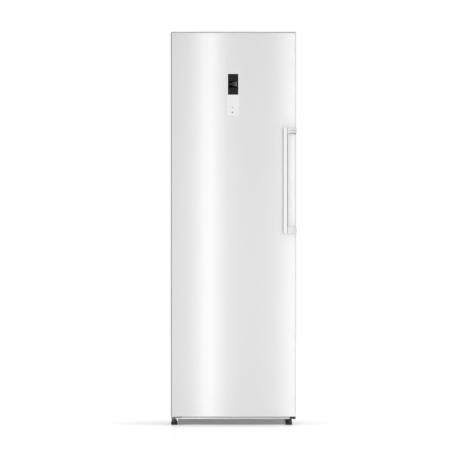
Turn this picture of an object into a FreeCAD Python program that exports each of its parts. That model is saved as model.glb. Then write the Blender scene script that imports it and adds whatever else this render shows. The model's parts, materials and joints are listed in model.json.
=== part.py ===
"""Upright freezer with one tall door, hinged on the left.

Millimetres. The front faces -Y, +X is to the right and +Z is up. The origin is on the floor,
in the middle of the footprint. Every piece is a node of its own.
"""
import FreeCAD, Part
import math
import os

Vector = FreeCAD.Vector

# Driving dimensions: the whole appliance
WIDTH = 595.0
HEIGHT = 1870.0
HALF = WIDTH / 2
BACK_Y = 350.0           # rear face of the wall spacers
HANDLE_FRONT_Y = -350.0
DOOR_APEX_Y = -312.0     # the door's face bulges forward in the middle
DOOR_EDGE_Y = -300.0
DOOR_BACK_Y = -250.0
CABINET_FRONT_Y = -240.0
CABINET_BACK_Y = 325.0
CABINET_TOP = 1850.0
SHEET = 1.0              # steel sheet
LINER = 1.5              # plastic liner

# The cold room inside the cabinet
SIDE_WALL = 62.0
ROOM_HALF = HALF - SIDE_WALL
ROOM_FLOOR = 130.0
ROOM_TOP = 1780.0
ROOM_BACK_Y = 262.0
STEP_TOP = 312.0         # the floor steps up over the machine room
STEP_FRONT_Y = 72.0
COVER_Y = 212.0          # front face of the evaporator cover
SHELF_THICKNESS = 4.0
SHELF_TOPS = [1570.0, 1360.0, 1150.0, 877.0, 604.0, 331.0]
FRONTS_Y = -160.0        # front plane of flaps and drawers

# The machine room at the lower back
MACHINE_TOP = 260.0
MACHINE_FRONT_Y = 115.0
TRAY_Z = 32.0
BASE_Z = 60.0            # underside of the insulated box
LOUVRE_ROWS = 5
LOUVRE_COLUMNS = 6
LOUVRE_FIRST_X = -246.0
LOUVRE_FIRST_Z = 70.0
LOUVRE_STEP = 84.0
LOUVRE_RISE = 26.0
LOUVRE_LENGTH = 66.0
LOUVRE_GAP = 8.0

# The door
DOOR_BOTTOM = 41.0
CAP_EDGE = 3.0           # visible edge of each end cap
CAP_SHELF_Z = CABINET_TOP - 2
LIP_BACK_Y = -292.0
HINGE_X = -285.0
HINGE_Y = -275.0
PIN_R = 5.0
RUNNING_GAP = 0.05

# Control panel in the door
PANEL_X = (-32.0, 28.0)
PANEL_Z = (1470.0, 1676.0)
WINDOW_X = (-25.5, 21.5)
WINDOW_Z = (1572.0, 1668.0)
KEYS_Z = (1476.0, 1563.0)

# Handle
BAR_X = (236.0, 259.0)
BAR_Z = (911.0, 1413.0)
BAR_DEPTH = 14.0
ARM_HEIGHT = 31.0
WRAP = 3.0               # thickness of the arm on the door's right side

# Underneath
FOOT_Y = -215.0
FOOT_LEFT_X = -281.0
FOOT_RIGHT_X = 264.0
RAIL_BACK_Y = -190.0
ROLLER_R = 15.0
ROLLER_X = 255.0
ROLLER_Y = 285.0

# Storage
DRAWER_HALF = 222.0
DRAWER_WALL = 3.0
FLAP_HEIGHT = 165.0
FLAP_HALF = 226.0
FLAP_PIN_R = 3.0
FLAP_HINGE_Y = FRONTS_Y + 8
CEILINGS = [ROOM_TOP] + [top - SHELF_THICKNESS for top in SHELF_TOPS]
FLAP_HINGES = [ceiling - 16 for ceiling in CEILINGS[:3]]

# Cold circuit
COMPRESSOR_XY = (-70.0, 215.0)
COMPRESSOR_R = 70.0
COMPRESSOR_TOP = 222.0
COMPRESSOR_SHOULDER = 172.0
TUBE_R = 2.4
WIRE_R = 0.8
CONDENSER_Y = 337.0
CONDENSER_HALF = 210.0
CONDENSER_RETURN_X = 240.0
CONDENSER_LOW_Z = 245.0
CONDENSER_FIRST_Z = 420.0
CONDENSER_PITCH = 72.0
CONDENSER_ROWS = 17
CONDENSER_WIRES = 21
CONDENSER_BEND = 18.0
CLIP_X = 182.0
WIRES_HALF = 165.0
EVAPORATOR_R = 4.0
EVAPORATOR_END_Z = 345.0
EVAPORATOR_FIRST_Z = 380.0
EVAPORATOR_PITCH = 34.0
EVAPORATOR_ROWS = 10
FINS = 15
PASSAGE_Y = 240.0
CAPILLARY_X = 148.0
SUCTION_X = 206.0
FAN_Z = 762.0
FAN_R = 54.0
SHAFT_R = 2.0
DRAIN_X = -60.0
DRAIN_Y = 240.0
DRAIN_R = 8.0
INLET_X = 130.0

# Fixings and smaller door sizes
TOP_BOLTS = [(x, y) for x in (-270.0, -240.0) for y in (-222.0, -168.0)]
LOW_BOLTS_X = (-280.0, -256.0)
LOW_BOLT_Z = 48.0
STEM_R = 5.0
AXLE_R = 4.0
KICK_X = (-263.0, 248.0)
RIBS_X = (-150.0, -50.0, 50.0, 150.0)
SKIN = 0.8
CAP_DEPTH = 20.0
BUSH_R = 9.0
RAISED_HALF = 205.0
RAISED_BACK_Y = -225.0
RAISED_Z = (150.0, 1760.0)
GASKET_HALF = 283.0
GASKET_Z = (76.0, 1824.0)
POCKET_BACK_Y = -290.0
PANEL_PROUD = 2.5
SCREW_Y = -288.0

Z = Vector(0, 0, 1)
Y = Vector(0, 1, 0)
X = Vector(1, 0, 0)


# Small helpers

def block(x, y, z):
    """A box between two planes on each axis."""
    return Part.makeBox(x[1] - x[0], y[1] - y[0], z[1] - z[0], Vector(x[0], y[0], z[0]))


def rod(start, axis, radius, length):
    """A cylinder from a point along an axis."""
    return Part.makeCylinder(radius, length, Vector(*start), axis)


def rounded_block(x, y, z, radius, axis=Z):
    """A box with its four edges along one axis rounded."""
    body = block(x, y, z)
    edges = [e for e in body.Edges if abs(e.tangentAt(e.FirstParameter).dot(axis)) > 0.9]
    return body.makeFillet(radius, edges)


def fuse(pieces):
    """One solid from pieces that touch."""
    return pieces[0].multiFuse(pieces[1:]).removeSplitter() if len(pieces) > 1 else pieces[0]


def cut(body, tools):
    """A body with several tools taken away."""
    return body.cut(list(tools))


def fuse_loose(tools):
    """A shape from tools that may or may not touch."""
    return tools[0].multiFuse(tools[1:])


def bent_tube(points, bend, radius):
    """A round tube along straight runs joined by tangent arcs."""
    points = [Vector(*p) for p in points]
    edges = []
    start = points[0]
    for before, corner, after in zip(points, points[1:], points[2:]):
        back = (before - corner).normalize()
        ahead = (after - corner).normalize()
        turn = math.pi - back.getAngle(ahead)
        reach = bend * math.tan(turn / 2)
        first = corner + back * reach
        last = corner + ahead * reach
        inward = (back + ahead).normalize()
        middle = corner + inward * (bend / math.cos(turn / 2) - bend)
        if (first - start).Length > 1e-6:
            edges.append(Part.LineSegment(start, first).toShape())
        edges.append(Part.Arc(first, middle, last).toShape())
        start = last
    if (points[-1] - start).Length > 1e-6:
        edges.append(Part.LineSegment(start, points[-1]).toShape())
    path = Part.Wire(edges)
    ring = Part.Wire(Part.makeCircle(radius, points[0], points[1] - points[0]))
    return path.makePipeShell([ring], True, True)


def save(name, *solids):
    """Write one node."""
    shape = solids[0] if len(solids) == 1 else Part.makeCompound(list(solids))
    for solid in shape.Solids:
        if not solid.isValid() or solid.Volume < 1:
            print("bad solid in", name, solid.isValid(), solid.Volume)
    print(f"{name}: {len(shape.Solids)} solids, {shape.Volume / 1000:.1f} cm3")
    shape.exportStep(f"parts/{name}.step")


def door_outline(inset, back_y, z):
    """The door's convex plan shape, inset from its outside, between two heights."""
    side = HALF - inset
    left = Vector(-side, DOOR_EDGE_Y + inset, z[0])
    right = Vector(side, DOOR_EDGE_Y + inset, z[0])
    apex = Vector(0, DOOR_APEX_Y + inset, z[0])
    edges = [
        Part.Arc(left, apex, right).toShape(),
        Part.makeLine(right, Vector(side, back_y, z[0])),
        Part.makeLine(Vector(side, back_y, z[0]), Vector(-side, back_y, z[0])),
        Part.makeLine(Vector(-side, back_y, z[0]), left),
    ]
    return Part.Face(Part.Wire(edges)).extrude(Vector(0, 0, z[1] - z[0]))


# Cabinet shell

def side_panel(side):
    """A flat outer side sheet with a narrow flange turned in at the front and back."""
    outer = side * HALF
    inner = side * (HALF - SHEET)
    turned = side * (HALF - 12)
    skin = block(sorted((outer, inner)), (CABINET_FRONT_Y, CABINET_BACK_Y), (TRAY_Z, CABINET_TOP))
    front = block(sorted((outer, turned)), (CABINET_FRONT_Y, CABINET_FRONT_Y + SHEET), (BASE_Z, CABINET_TOP))
    back = block(sorted((outer, turned)), (CABINET_BACK_Y - SHEET, CABINET_BACK_Y), (TRAY_Z, CABINET_TOP))
    return fuse([skin, front, back])


def top_panel():
    """The lid of the cabinet, set between the side panels."""
    inside = HALF - SHEET
    lid = block((-inside, inside), (CABINET_FRONT_Y + SHEET, CABINET_BACK_Y - SHEET),
                (CABINET_TOP - SHEET, CABINET_TOP))
    bolt_holes = [rod((x, y, CABINET_TOP - 20), Z, 3.0, 40) for x, y in TOP_BOLTS]
    return cut(lid, bolt_holes)


def room_solid(grow):
    """The cold room's inner space, grown outwards by a thickness."""
    half = ROOM_HALF + grow
    front = CABINET_FRONT_Y - 20
    tall = block((-half, half), (front, ROOM_BACK_Y + grow), (STEP_TOP - grow, ROOM_TOP + grow))
    low = block((-half, half), (front, STEP_FRONT_Y + grow), (ROOM_FLOOR - grow, STEP_TOP + grow))
    return fuse([tall, low])


def service_holes(z):
    """The drain hole and the tube holes through the step over the machine room."""
    places = [(DRAIN_X, DRAIN_Y, DRAIN_R + 0.5), (CAPILLARY_X, PASSAGE_Y, 2.0), (SUCTION_X, PASSAGE_Y, 4.5)]
    return [rod((x, y, z[0]), Z, radius, z[1] - z[0]) for x, y, radius in places]


def cabinet_insulation():
    """Foamed-in-place insulation between the outer sheets and the liner."""
    side = HALF - SHEET
    outer = block((-side, side), (CABINET_FRONT_Y + LINER, CABINET_BACK_Y - SHEET),
                  (BASE_Z, CABINET_TOP - SHEET))
    machine = block((-HALF, HALF), (MACHINE_FRONT_Y - SHEET, CABINET_BACK_Y), (0, MACHINE_TOP))
    bolt_holes = [rod((x, y, CABINET_TOP - 20), Z, 3.0, 40) for x, y in TOP_BOLTS]
    inner = service_holes((MACHINE_TOP - 5, STEP_TOP + 5)) + bolt_holes
    return cut(outer, [room_solid(LINER), machine] + inner)


def inner_liner():
    """Thin inner shell with a front flange, shelf ledges and flap bearings."""
    shell = room_solid(LINER).cut(room_solid(0))
    flange = block((-HALF + 12, HALF - 12), (CABINET_FRONT_Y, CABINET_FRONT_Y + LINER),
                   (BASE_Z, CABINET_TOP - SHEET)).cut(room_solid(LINER))
    ahead = block((-HALF, HALF), (CABINET_FRONT_Y - 40, CABINET_FRONT_Y), (0, HEIGHT))
    body = fuse([shell.cut(ahead), flange])
    extras = []
    for top in SHELF_TOPS:
        under = top - SHELF_THICKNESS
        for side in (-1, 1):
            x = sorted((side * (ROOM_HALF + 1), side * (ROOM_HALF - 7)))
            extras.append(block(x, (FRONTS_Y + 25, COVER_Y - 4), (under - 6, under)))
    for hinge_z in FLAP_HINGES:
        for side in (-1, 1):
            x0 = side * (ROOM_HALF + 0.5)
            boss = rod((x0, FLAP_HINGE_Y, hinge_z), X * -side, 7, ROOM_HALF + 0.5 - FLAP_HALF - 1)
            bore = rod((side * (ROOM_HALF - 0.5), FLAP_HINGE_Y, hinge_z), X * -side,
                       FLAP_PIN_R + RUNNING_GAP, 20)
            extras.append(boss.cut(bore))
    return cut(fuse([body] + extras), service_holes((MACHINE_TOP, STEP_TOP + 1)))


def rear_panel():
    """Back sheet with shallow vertical stiffening ribs."""
    side = HALF - 12
    y = CABINET_BACK_Y - SHEET
    sheet = block((-side, side), (y, CABINET_BACK_Y), (MACHINE_TOP, CABINET_TOP - SHEET))
    ribs = [block((x - 9, x + 9), (CABINET_BACK_Y, CABINET_BACK_Y + 2.5), (MACHINE_TOP + 60, CABINET_TOP - 60))
            for x in RIBS_X]
    return fuse([sheet] + ribs)


def base_plate():
    """One folded sheet: floor of the insulated box, then up and back over the machine room."""
    side = HALF - SHEET
    floor = block((-side, side), (RAIL_BACK_Y, MACHINE_FRONT_Y), (BASE_Z - SHEET, BASE_Z))
    riser = block((-side, side), (MACHINE_FRONT_Y - SHEET, MACHINE_FRONT_Y), (BASE_Z - SHEET, MACHINE_TOP))
    roof = block((-side, side), (MACHINE_FRONT_Y - SHEET, CABINET_BACK_Y - SHEET),
                 (MACHINE_TOP - SHEET, MACHINE_TOP))
    return cut(fuse([floor, riser, roof]), service_holes((MACHINE_TOP - 5, MACHINE_TOP + 5)))


def front_rail():
    """Steel channel across the front, under the insulated box."""
    side = HALF - SHEET
    outer = block((-side, side), (CABINET_FRONT_Y + 2, RAIL_BACK_Y), (30, BASE_Z))
    inner = block((-side + 2, side - 2), (CABINET_FRONT_Y + 4, RAIL_BACK_Y + 1), (32, BASE_Z - 2))
    stems = [rod((x, FOOT_Y, 25), Z, STEM_R + RUNNING_GAP, 20) for x in (FOOT_LEFT_X, FOOT_RIGHT_X)]
    bolts = [rod((x, CABINET_FRONT_Y - 5, LOW_BOLT_Z), Y, 3.0, 20) for x in LOW_BOLTS_X]
    return cut(outer, [inner] + stems + bolts)


def kick_plate():
    """Plinth under the rail, with its ends turned back in a curve."""
    x0, x1 = KICK_X
    outer = rounded_block((x0, x1), (-232, -202), (3, 30), 12)
    inner = rounded_block((x0 + 3, x1 - 3), (-229, -199), (2, 31), 9)
    return outer.cut(inner).cut(block((x0 - 1, x1 + 1), (-208, -190), (0, 40)))


def machine_tray():
    """Rear tray that carries the compressor, with upturned edges and the roller cheeks."""
    side = HALF - SHEET
    floor = block((-side, side), (MACHINE_FRONT_Y - 30, CABINET_BACK_Y - 4), (TRAY_Z, TRAY_Z + 1.5))
    front = block((-side, side), (MACHINE_FRONT_Y - 30, MACHINE_FRONT_Y - 28.5), (TRAY_Z, BASE_Z - SHEET))
    cheeks = []
    for side_sign in (-1, 1):
        for offset in (-12, 12):
            x = side_sign * ROLLER_X + offset
            cheek = block((x - 1, x + 1), (ROLLER_Y - 12, ROLLER_Y + 12), (ROLLER_R - 8, TRAY_Z))
            cheeks.append(cheek)
        axle = rod((side_sign * ROLLER_X - 13, ROLLER_Y, ROLLER_R), X, AXLE_R, 26)
        cheeks.append(axle)
    vents = [block((x, x + 60), (135, 143), (0, 40)) for x in (-240, -160, -80, 0, 80, 160)]
    return cut(fuse([floor, front] + cheeks), vents)


def machine_cover():
    """Pressed rear cover of the machine room, with louvre slots and two tube holes."""
    plate = block((-HALF + 14, HALF - 14), (CABINET_BACK_Y - 3, CABINET_BACK_Y - 1.5),
                  (TRAY_Z + 3, MACHINE_TOP - 2))
    before, behind = CABINET_BACK_Y - 10, CABINET_BACK_Y + 5
    slots = []
    for row in range(LOUVRE_ROWS):
        z = LOUVRE_FIRST_Z + row * LOUVRE_RISE
        for column in range(LOUVRE_COLUMNS):
            x = LOUVRE_FIRST_X + column * LOUVRE_STEP
            slots.append(block((x, x + LOUVRE_LENGTH), (before, behind), (z, z + LOUVRE_GAP)))
    holes = [rod((x, before, CONDENSER_LOW_Z), Y, 5, 20) for x in (-CONDENSER_HALF, CONDENSER_RETURN_X)]
    inlet = block((INLET_X - 16, INLET_X + 16), (before, behind), (206, 232))
    return cut(plate, slots + holes + [inlet])


# Cold circuit

def condenser_top_z():
    """Height of the condenser's top row."""
    return CONDENSER_FIRST_Z + (CONDENSER_ROWS - 1) * CONDENSER_PITCH


def condenser_tube():
    """The condenser's serpentine, both of its ends going forward through the cover."""
    y = CONDENSER_Y
    left, right = -CONDENSER_HALF, CONDENSER_HALF
    inner_y = CABINET_BACK_Y - 25
    points = [(left, inner_y, CONDENSER_LOW_Z), (left, y, CONDENSER_LOW_Z)]
    for row in range(CONDENSER_ROWS):
        z = CONDENSER_FIRST_Z + row * CONDENSER_PITCH
        ends = (left, right) if row % 2 == 0 else (right, left)
        points += [(x, y, z) for x in ends]
    points[-1] = (CONDENSER_RETURN_X, y, condenser_top_z())
    points += [(CONDENSER_RETURN_X, y, CONDENSER_LOW_Z), (CONDENSER_RETURN_X, inner_y, CONDENSER_LOW_Z)]
    return bent_tube(points, CONDENSER_BEND, TUBE_R)


def condenser_wires():
    """The condenser's upright wires and its four clips."""
    y = CONDENSER_Y
    wires_y = y + TUBE_R + WIRE_R
    past = 12
    tall = condenser_top_z() - CONDENSER_FIRST_Z + 2 * past
    gap = 2 * WIRES_HALF / (CONDENSER_WIRES - 1)
    solids = [rod((-WIRES_HALF + wire * gap, wires_y, CONDENSER_FIRST_Z - past), Z, WIRE_R, tall)
              for wire in range(CONDENSER_WIRES)]
    for x in (-CLIP_X, CLIP_X):
        for z in (CONDENSER_FIRST_Z, condenser_top_z()):
            clip = block((x - 6, x + 6), (CABINET_BACK_Y, y + TUBE_R + 2), (z - 7, z + 7))
            solids.append(clip.cut(rod((x - 10, y, z), X, TUBE_R, 20)))
    return solids


def compressor():
    """Hermetic can with a domed lid, on a foot plate with four holes."""
    x, y = COMPRESSOR_XY
    r = COMPRESSOR_R
    rise = COMPRESSOR_TOP - COMPRESSOR_SHOULDER
    dome_r = (r * r + rise * rise) / (2 * rise)
    slope = math.asin(r / dome_r) / 2
    crown = Vector(dome_r * math.sin(slope), 0, COMPRESSOR_TOP - dome_r * (1 - math.cos(slope)))
    points = [Vector(0, 0, 60), Vector(r - 12, 0, 60), Vector(r, 0, 72),
              Vector(r, 0, COMPRESSOR_SHOULDER), Vector(0, 0, COMPRESSOR_TOP)]
    edges = [Part.makeLine(points[0], points[1]), Part.makeLine(points[1], points[2]),
             Part.makeLine(points[2], points[3]), Part.Arc(points[3], crown, points[4]).toShape(),
             Part.makeLine(points[4], points[0])]
    can = Part.Face(Part.Wire(edges)).revolve(Vector(0, 0, 0), Z, 360)
    seam = Part.makeCylinder(r + 2.5, 6, Vector(0, 0, 132))
    plate = rounded_block((-100, 100), (-65, 65), (57, 60.5), 14)
    holes = [rod((mx, my, 50), Z, 4, 20) for mx in (-85, 85) for my in (-50, 50)]
    body = fuse([can, seam, plate]).cut(Part.makeCompound(holes))
    body.translate(Vector(x, y, 0))
    return body


def compressor_mounts():
    """Four rubber grommets, each with its stud through the foot plate."""
    x, y = COMPRESSOR_XY
    mounts = []
    for mx in (-85, 85):
        for my in (-50, 50):
            ring = rod((x + mx, y + my, TRAY_Z + 1.5), Z, 10, 57 - TRAY_Z - 1.5)
            stud = rod((x + mx, y + my, 50), Z, 4, 18)
            nut = rod((x + mx, y + my, 60.5), Z, 7, 5)
            mounts.append(fuse([ring, stud, nut]))
    return mounts


def refrigerant_tubes():
    """Discharge, liquid, capillary and suction tubes, with the filter drier."""
    x, y = COMPRESSOR_XY
    r = COMPRESSOR_R
    end_y = CABINET_BACK_Y - 25
    left = -CONDENSER_HALF
    right = CONDENSER_RETURN_X
    discharge = [(x - r + 2, y, 110), (x - r - 40, y, 110), (x - r - 40, y, 215),
                 (left, end_y - 45, CONDENSER_LOW_Z), (left, end_y, CONDENSER_LOW_Z)]
    liquid = [(right, end_y, CONDENSER_LOW_Z), (right, 262, CONDENSER_LOW_Z), (right, 262, 185)]
    capillary = [(right, 262, 115), (right, 262, 75), (CAPILLARY_X, PASSAGE_Y, 75),
                 (CAPILLARY_X, PASSAGE_Y, EVAPORATOR_END_Z)]
    suction = [(SUCTION_X, PASSAGE_Y, EVAPORATOR_END_Z), (SUCTION_X, PASSAGE_Y, 104),
               (70, y, 104), (x + r - 2, y, 104)]
    can = compressor()
    return [bent_tube(discharge, 14, TUBE_R).cut(can), bent_tube(liquid, 12, TUBE_R),
            rod((right, 262, 115), Z, 9, 70), bent_tube(capillary, 14, 1.2),
            bent_tube(suction, 18, 3.5).cut(can)]


def evaporator():
    """Serpentine tube with flat fins, behind the cover."""
    y = PASSAGE_Y
    half = 180
    points = [(CAPILLARY_X, y, EVAPORATOR_END_Z), (CAPILLARY_X, y, EVAPORATOR_FIRST_Z)]
    for row in range(EVAPORATOR_ROWS):
        z = EVAPORATOR_FIRST_Z + row * EVAPORATOR_PITCH
        ends = [-half] if row == 0 else ([-half, half] if row % 2 else [half, -half])
        points += [(x, y, z) for x in ends]
    top_z = points[-1][2]
    points[-1] = (SUCTION_X, y, top_z)
    points.append((SUCTION_X, y, EVAPORATOR_END_Z))
    tube = bent_tube(points, 14, EVAPORATOR_R)
    fins = []
    holes = fuse_loose([rod((-220, y, EVAPORATOR_FIRST_Z + row * EVAPORATOR_PITCH), X, EVAPORATOR_R, 440)
                        for row in range(EVAPORATOR_ROWS)])
    for index in range(FINS):
        x = -150 + index * 19
        fin = block((x, x + 0.6), (222, 258), (EVAPORATOR_FIRST_Z - 9, top_z + 9))
        fins.append(fin.cut(holes))
    return [tube] + fins


def defrost_heater():
    """U-shaped sheathed heater under the evaporator."""
    points = [(-195, 230, 357), (120, 230, 357), (120, 250, 357), (-195, 250, 357)]
    return bent_tube(points, 8, 3.5)


def evaporator_cover():
    """Inner back cover with air outlets in each compartment and the fan's guarded hole."""
    half = ROOM_HALF - 0.5
    plate = block((-half, half), (COVER_Y, COVER_Y + 3), (STEP_TOP + 1, ROOM_TOP - 1))
    cuts = []
    levels = [ROOM_TOP] + SHELF_TOPS
    for top in levels[:-1]:
        for column in range(4):
            x = -165 + column * 90
            cuts.append(block((x, x + 60), (COVER_Y - 5, COVER_Y + 8), (top - 52, top - 44)))
    for column in range(7):
        x = -200 + column * 58
        cuts.append(block((x, x + 40), (COVER_Y - 5, COVER_Y + 8), (STEP_TOP + 30, STEP_TOP + 38)))
    hole = rod((0, COVER_Y - 5, FAN_Z), Y, FAN_R + 4, 12)
    guard = [Part.makeCylinder(r + 2, 3, Vector(0, COVER_Y, FAN_Z), Y)
             .cut(Part.makeCylinder(r, 3, Vector(0, COVER_Y, FAN_Z), Y)) for r in (14, 28, 42)]
    spokes = []
    for turn in range(6):
        spoke = block((-1.2, 1.2), (COVER_Y, COVER_Y + 3), (15, FAN_R + 6))
        spoke.rotate(Vector(0, 0, 0), Y, 60 * turn)
        spoke.translate(Vector(0, 0, FAN_Z))
        spokes.append(spoke)
    return fuse([cut(plate, cuts + [hole])] + guard + spokes)


def fan_motor():
    """Small motor on a strap behind the cover, with its shaft forwards."""
    body = rod((0, 236, FAN_Z), Y, 24, 22)
    strap = block((-82, 82), (244, 247), (FAN_Z - 9, FAN_Z + 9))
    posts = [rod((x, COVER_Y + 3, FAN_Z), Y, 5, 32) for x in (-76, 76)]
    shaft = rod((0, 219, FAN_Z), Y, SHAFT_R, 20)
    return fuse([body, strap, shaft] + posts)


def fan_impeller():
    """Hub with five pitched blades."""
    hub = rod((0, 221, FAN_Z), Y, 14, 13)
    blades = []
    for turn in range(5):
        blade = block((-15, 15), (-0.9, 0.9), (11, FAN_R))
        blade.rotate(Vector(0, 0, 0), Z, 24)
        blade.rotate(Vector(0, 0, 0), Y, 72 * turn)
        blade.translate(Vector(0, 227.5, FAN_Z))
        blades.append(blade)
    sweep = rod((0, 221, FAN_Z), Y, FAN_R, 13)
    fan = fuse([hub] + blades).common(sweep)
    return fan.cut(rod((0, 210, FAN_Z), Y, SHAFT_R + RUNNING_GAP, 40))


def drip_gutter():
    """Gutter under the evaporator, with its drain tube down to the drip tray."""
    outer = block((-200, 128), (218, 260), (STEP_TOP + 4, STEP_TOP + 24))
    inner = block((-198, 126), (220, 258), (STEP_TOP + 6, STEP_TOP + 30))
    tube = rod((DRAIN_X, DRAIN_Y, 240), Z, DRAIN_R, STEP_TOP + 5 - 240)
    bore = rod((DRAIN_X, DRAIN_Y, 235), Z, DRAIN_R - 2, 100)
    return fuse([outer.cut(inner), tube]).cut(bore)


def drip_tray():
    """Shallow tray on top of the compressor."""
    x, y = COMPRESSOR_XY
    outer = rounded_block((x - 85, x + 85), (y - 70, y + 75), (COMPRESSOR_TOP, COMPRESSOR_TOP + 24), 14)
    inner = rounded_block((x - 83, x + 83), (y - 68, y + 73), (COMPRESSOR_TOP + 2, COMPRESSOR_TOP + 30), 12)
    return outer.cut(inner)


def start_relay_box():
    """Relay and overload housing clipped to the can's front."""
    x, y = COMPRESSOR_XY
    box = rounded_block((x - 26, x + 26), (y - COMPRESSOR_R - 24, y - COMPRESSOR_R + 14), (84, 128), 4)
    return box.cut(compressor())


def mains_inlet():
    """Three-pin inlet in the machine room's cover."""
    back = CABINET_BACK_Y - 1.5
    body = block((INLET_X - 15.8, INLET_X + 15.8), (back - 26, back), (206.2, 231.8))
    flange = rounded_block((INLET_X - 21, INLET_X + 21), (back, back + 2), (202, 236), 4, Y)
    recess = rounded_block((INLET_X - 12.5, INLET_X + 12.5), (back - 16, back + 5), (210, 228), 3, Y)
    pins = [block((INLET_X + dx - 1, INLET_X + dx + 1), (back - 17, back - 3), (z - 2, z + 2))
            for dx, z in ((-7, 216), (0, 221), (7, 216))]
    return fuse([fuse([body, flange]).cut(recess)] + pins)


def rear_spacers():
    """Two plastic buffers that keep the back off the wall."""
    return [rounded_block((x - 14, x + 14), (CABINET_BACK_Y, BACK_Y), (z - 22, z + 22), 6, Y)
            for x in (-262, 262) for z in (CABINET_TOP - 60,)]


# Storage

def glass_shelves():
    """One toughened glass shelf above each compartment but the first."""
    half = ROOM_HALF - 1.5
    return [block((-half, half), (FRONTS_Y + 22, COVER_Y - 2), (top - SHELF_THICKNESS, top))
            for top in SHELF_TOPS]


def flap(hinge_z):
    """Clear flap with a barrel and end pins along its top."""
    plate = block((-FLAP_HALF, FLAP_HALF), (FRONTS_Y, FRONTS_Y + 4), (hinge_z - FLAP_HEIGHT, hinge_z))
    barrel = rod((-FLAP_HALF, FLAP_HINGE_Y, hinge_z), X, 6.5, 2 * FLAP_HALF)
    neck = block((-FLAP_HALF, FLAP_HALF), (FRONTS_Y, FLAP_HINGE_Y), (hinge_z - 6, hinge_z))
    grip = block((-60, 60), (FRONTS_Y - 6, FRONTS_Y + 1), (hinge_z - FLAP_HEIGHT, hinge_z - FLAP_HEIGHT + 3))
    pin = rod((-ROOM_HALF + 1.5, FLAP_HINGE_Y, hinge_z), X, FLAP_PIN_R, 2 * ROOM_HALF - 3)
    return fuse([plate, barrel, neck, grip, pin])


def drawer_places():
    """Floor, height and back plane of each drawer, from the top down."""
    floors = SHELF_TOPS[2:][1:] + [ROOM_FLOOR]
    ceilings = [top - SHELF_THICKNESS for top in SHELF_TOPS[2:]]
    places = []
    for floor, ceiling in zip(floors, ceilings):
        back = STEP_FRONT_Y - 8 if floor < STEP_TOP else COVER_Y - 14
        places.append((floor + 0.4, ceiling - floor - 9, back))
    return places


def grip_slot(floor, tall):
    """The hand slot near the top of a drawer's front."""
    z = floor + tall - 42
    return rounded_block((-65, 65), (FRONTS_Y - 5, FRONTS_Y + 20), (z, z + 24), 10, Y)


def drawer_tub(floor, tall, back):
    """Open tub, lower than its front, with a rolled top rim."""
    front = FRONTS_Y + 4
    outer = rounded_block((-DRAWER_HALF, DRAWER_HALF), (front, back), (floor, floor + tall - 12), 10)
    inner = rounded_block((-DRAWER_HALF + DRAWER_WALL, DRAWER_HALF - DRAWER_WALL),
                          (front + DRAWER_WALL, back - DRAWER_WALL),
                          (floor + DRAWER_WALL, floor + tall), 8)
    return outer.cut(inner).cut(grip_slot(floor, tall))


def drawer_front(floor, tall):
    """Flat front plate with a hand slot."""
    plate = rounded_block((-FLAP_HALF, FLAP_HALF), (FRONTS_Y, FRONTS_Y + 4), (floor + 1, floor + tall), 6, Y)
    return plate.cut(grip_slot(floor, tall))


def light_lens():
    """Ceiling light cover."""
    return rounded_block((-60, 60), (-120, -60), (ROOM_TOP - 9, ROOM_TOP), 8)


# Door

def door_skin():
    """Convex painted sheet with turned-back sides and hems."""
    z = (DOOR_BOTTOM + CAP_EDGE, HEIGHT - CAP_EDGE)
    hem = 14
    shell = door_outline(0, DOOR_BACK_Y, z).cut(door_outline(SKIN, DOOR_BACK_Y - SKIN, z))
    back = block((-HALF + hem, HALF - hem), (DOOR_BACK_Y - 3, DOOR_BACK_Y + 1), (0, HEIGHT))
    above = block((-HALF - 1, HALF + 1), (LIP_BACK_Y, DOOR_BACK_Y + 5), (CAP_SHELF_Z - CAP_EDGE, HEIGHT))
    shell = shell.cut(back).cut(above)
    return cut(shell, [panel_pocket()] + screw_shanks())


def panel_pocket():
    """The space behind the control panel."""
    return block((PANEL_X[0] + 2, PANEL_X[1] - 2), (DOOR_APEX_Y - 5, POCKET_BACK_Y),
                 (PANEL_Z[0] + 2, PANEL_Z[1] - 2))


def door_insulation():
    """Foam core of the door, raised inside the gasket."""
    core = door_outline(SKIN, DOOR_BACK_Y - SKIN, (DOOR_BOTTOM + CAP_DEPTH, CAP_SHELF_Z - CAP_DEPTH))
    raised = block((-RAISED_HALF + LINER, RAISED_HALF - LINER), (DOOR_BACK_Y - 2, RAISED_BACK_Y - LINER),
                   (RAISED_Z[0] + LINER, RAISED_Z[1] - LINER))
    return cut(fuse([core, raised]), [panel_pocket()] + screw_shanks())


def door_liner():
    """Formed inner lining of the door, with a raised middle."""
    z = (DOOR_BOTTOM + CAP_DEPTH, CAP_SHELF_Z - CAP_DEPTH)
    flange = block((-HALF + 6, HALF - 6), (DOOR_BACK_Y, DOOR_BACK_Y + LINER), z)
    inlay = block((-HALF + 14, HALF - 14), (DOOR_BACK_Y - SKIN, DOOR_BACK_Y), z)
    raised = block((-RAISED_HALF, RAISED_HALF), (DOOR_BACK_Y, RAISED_BACK_Y), RAISED_Z)
    hollow = block((-RAISED_HALF + LINER, RAISED_HALF - LINER), (DOOR_BACK_Y - 2, RAISED_BACK_Y - LINER),
                   (RAISED_Z[0] + LINER, RAISED_Z[1] - LINER))
    return fuse([flange, inlay, raised]).cut(hollow)


def door_gasket():
    """Magnetic seal ring on the door's lining."""
    y = (DOOR_BACK_Y + LINER, CABINET_FRONT_Y - 0.3)
    outer = block((-GASKET_HALF, GASKET_HALF), y, GASKET_Z)
    inner = block((-GASKET_HALF + 16, GASKET_HALF - 16), (y[0] - 1, y[1] + 1),
                  (GASKET_Z[0] + 16, GASKET_Z[1] - 16))
    return outer.cut(inner)


def bush_holes(z):
    """The bore in an end cap that holds its hinge bush."""
    return rod((HINGE_X, HINGE_Y, z), Z, BUSH_R, 40)


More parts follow.
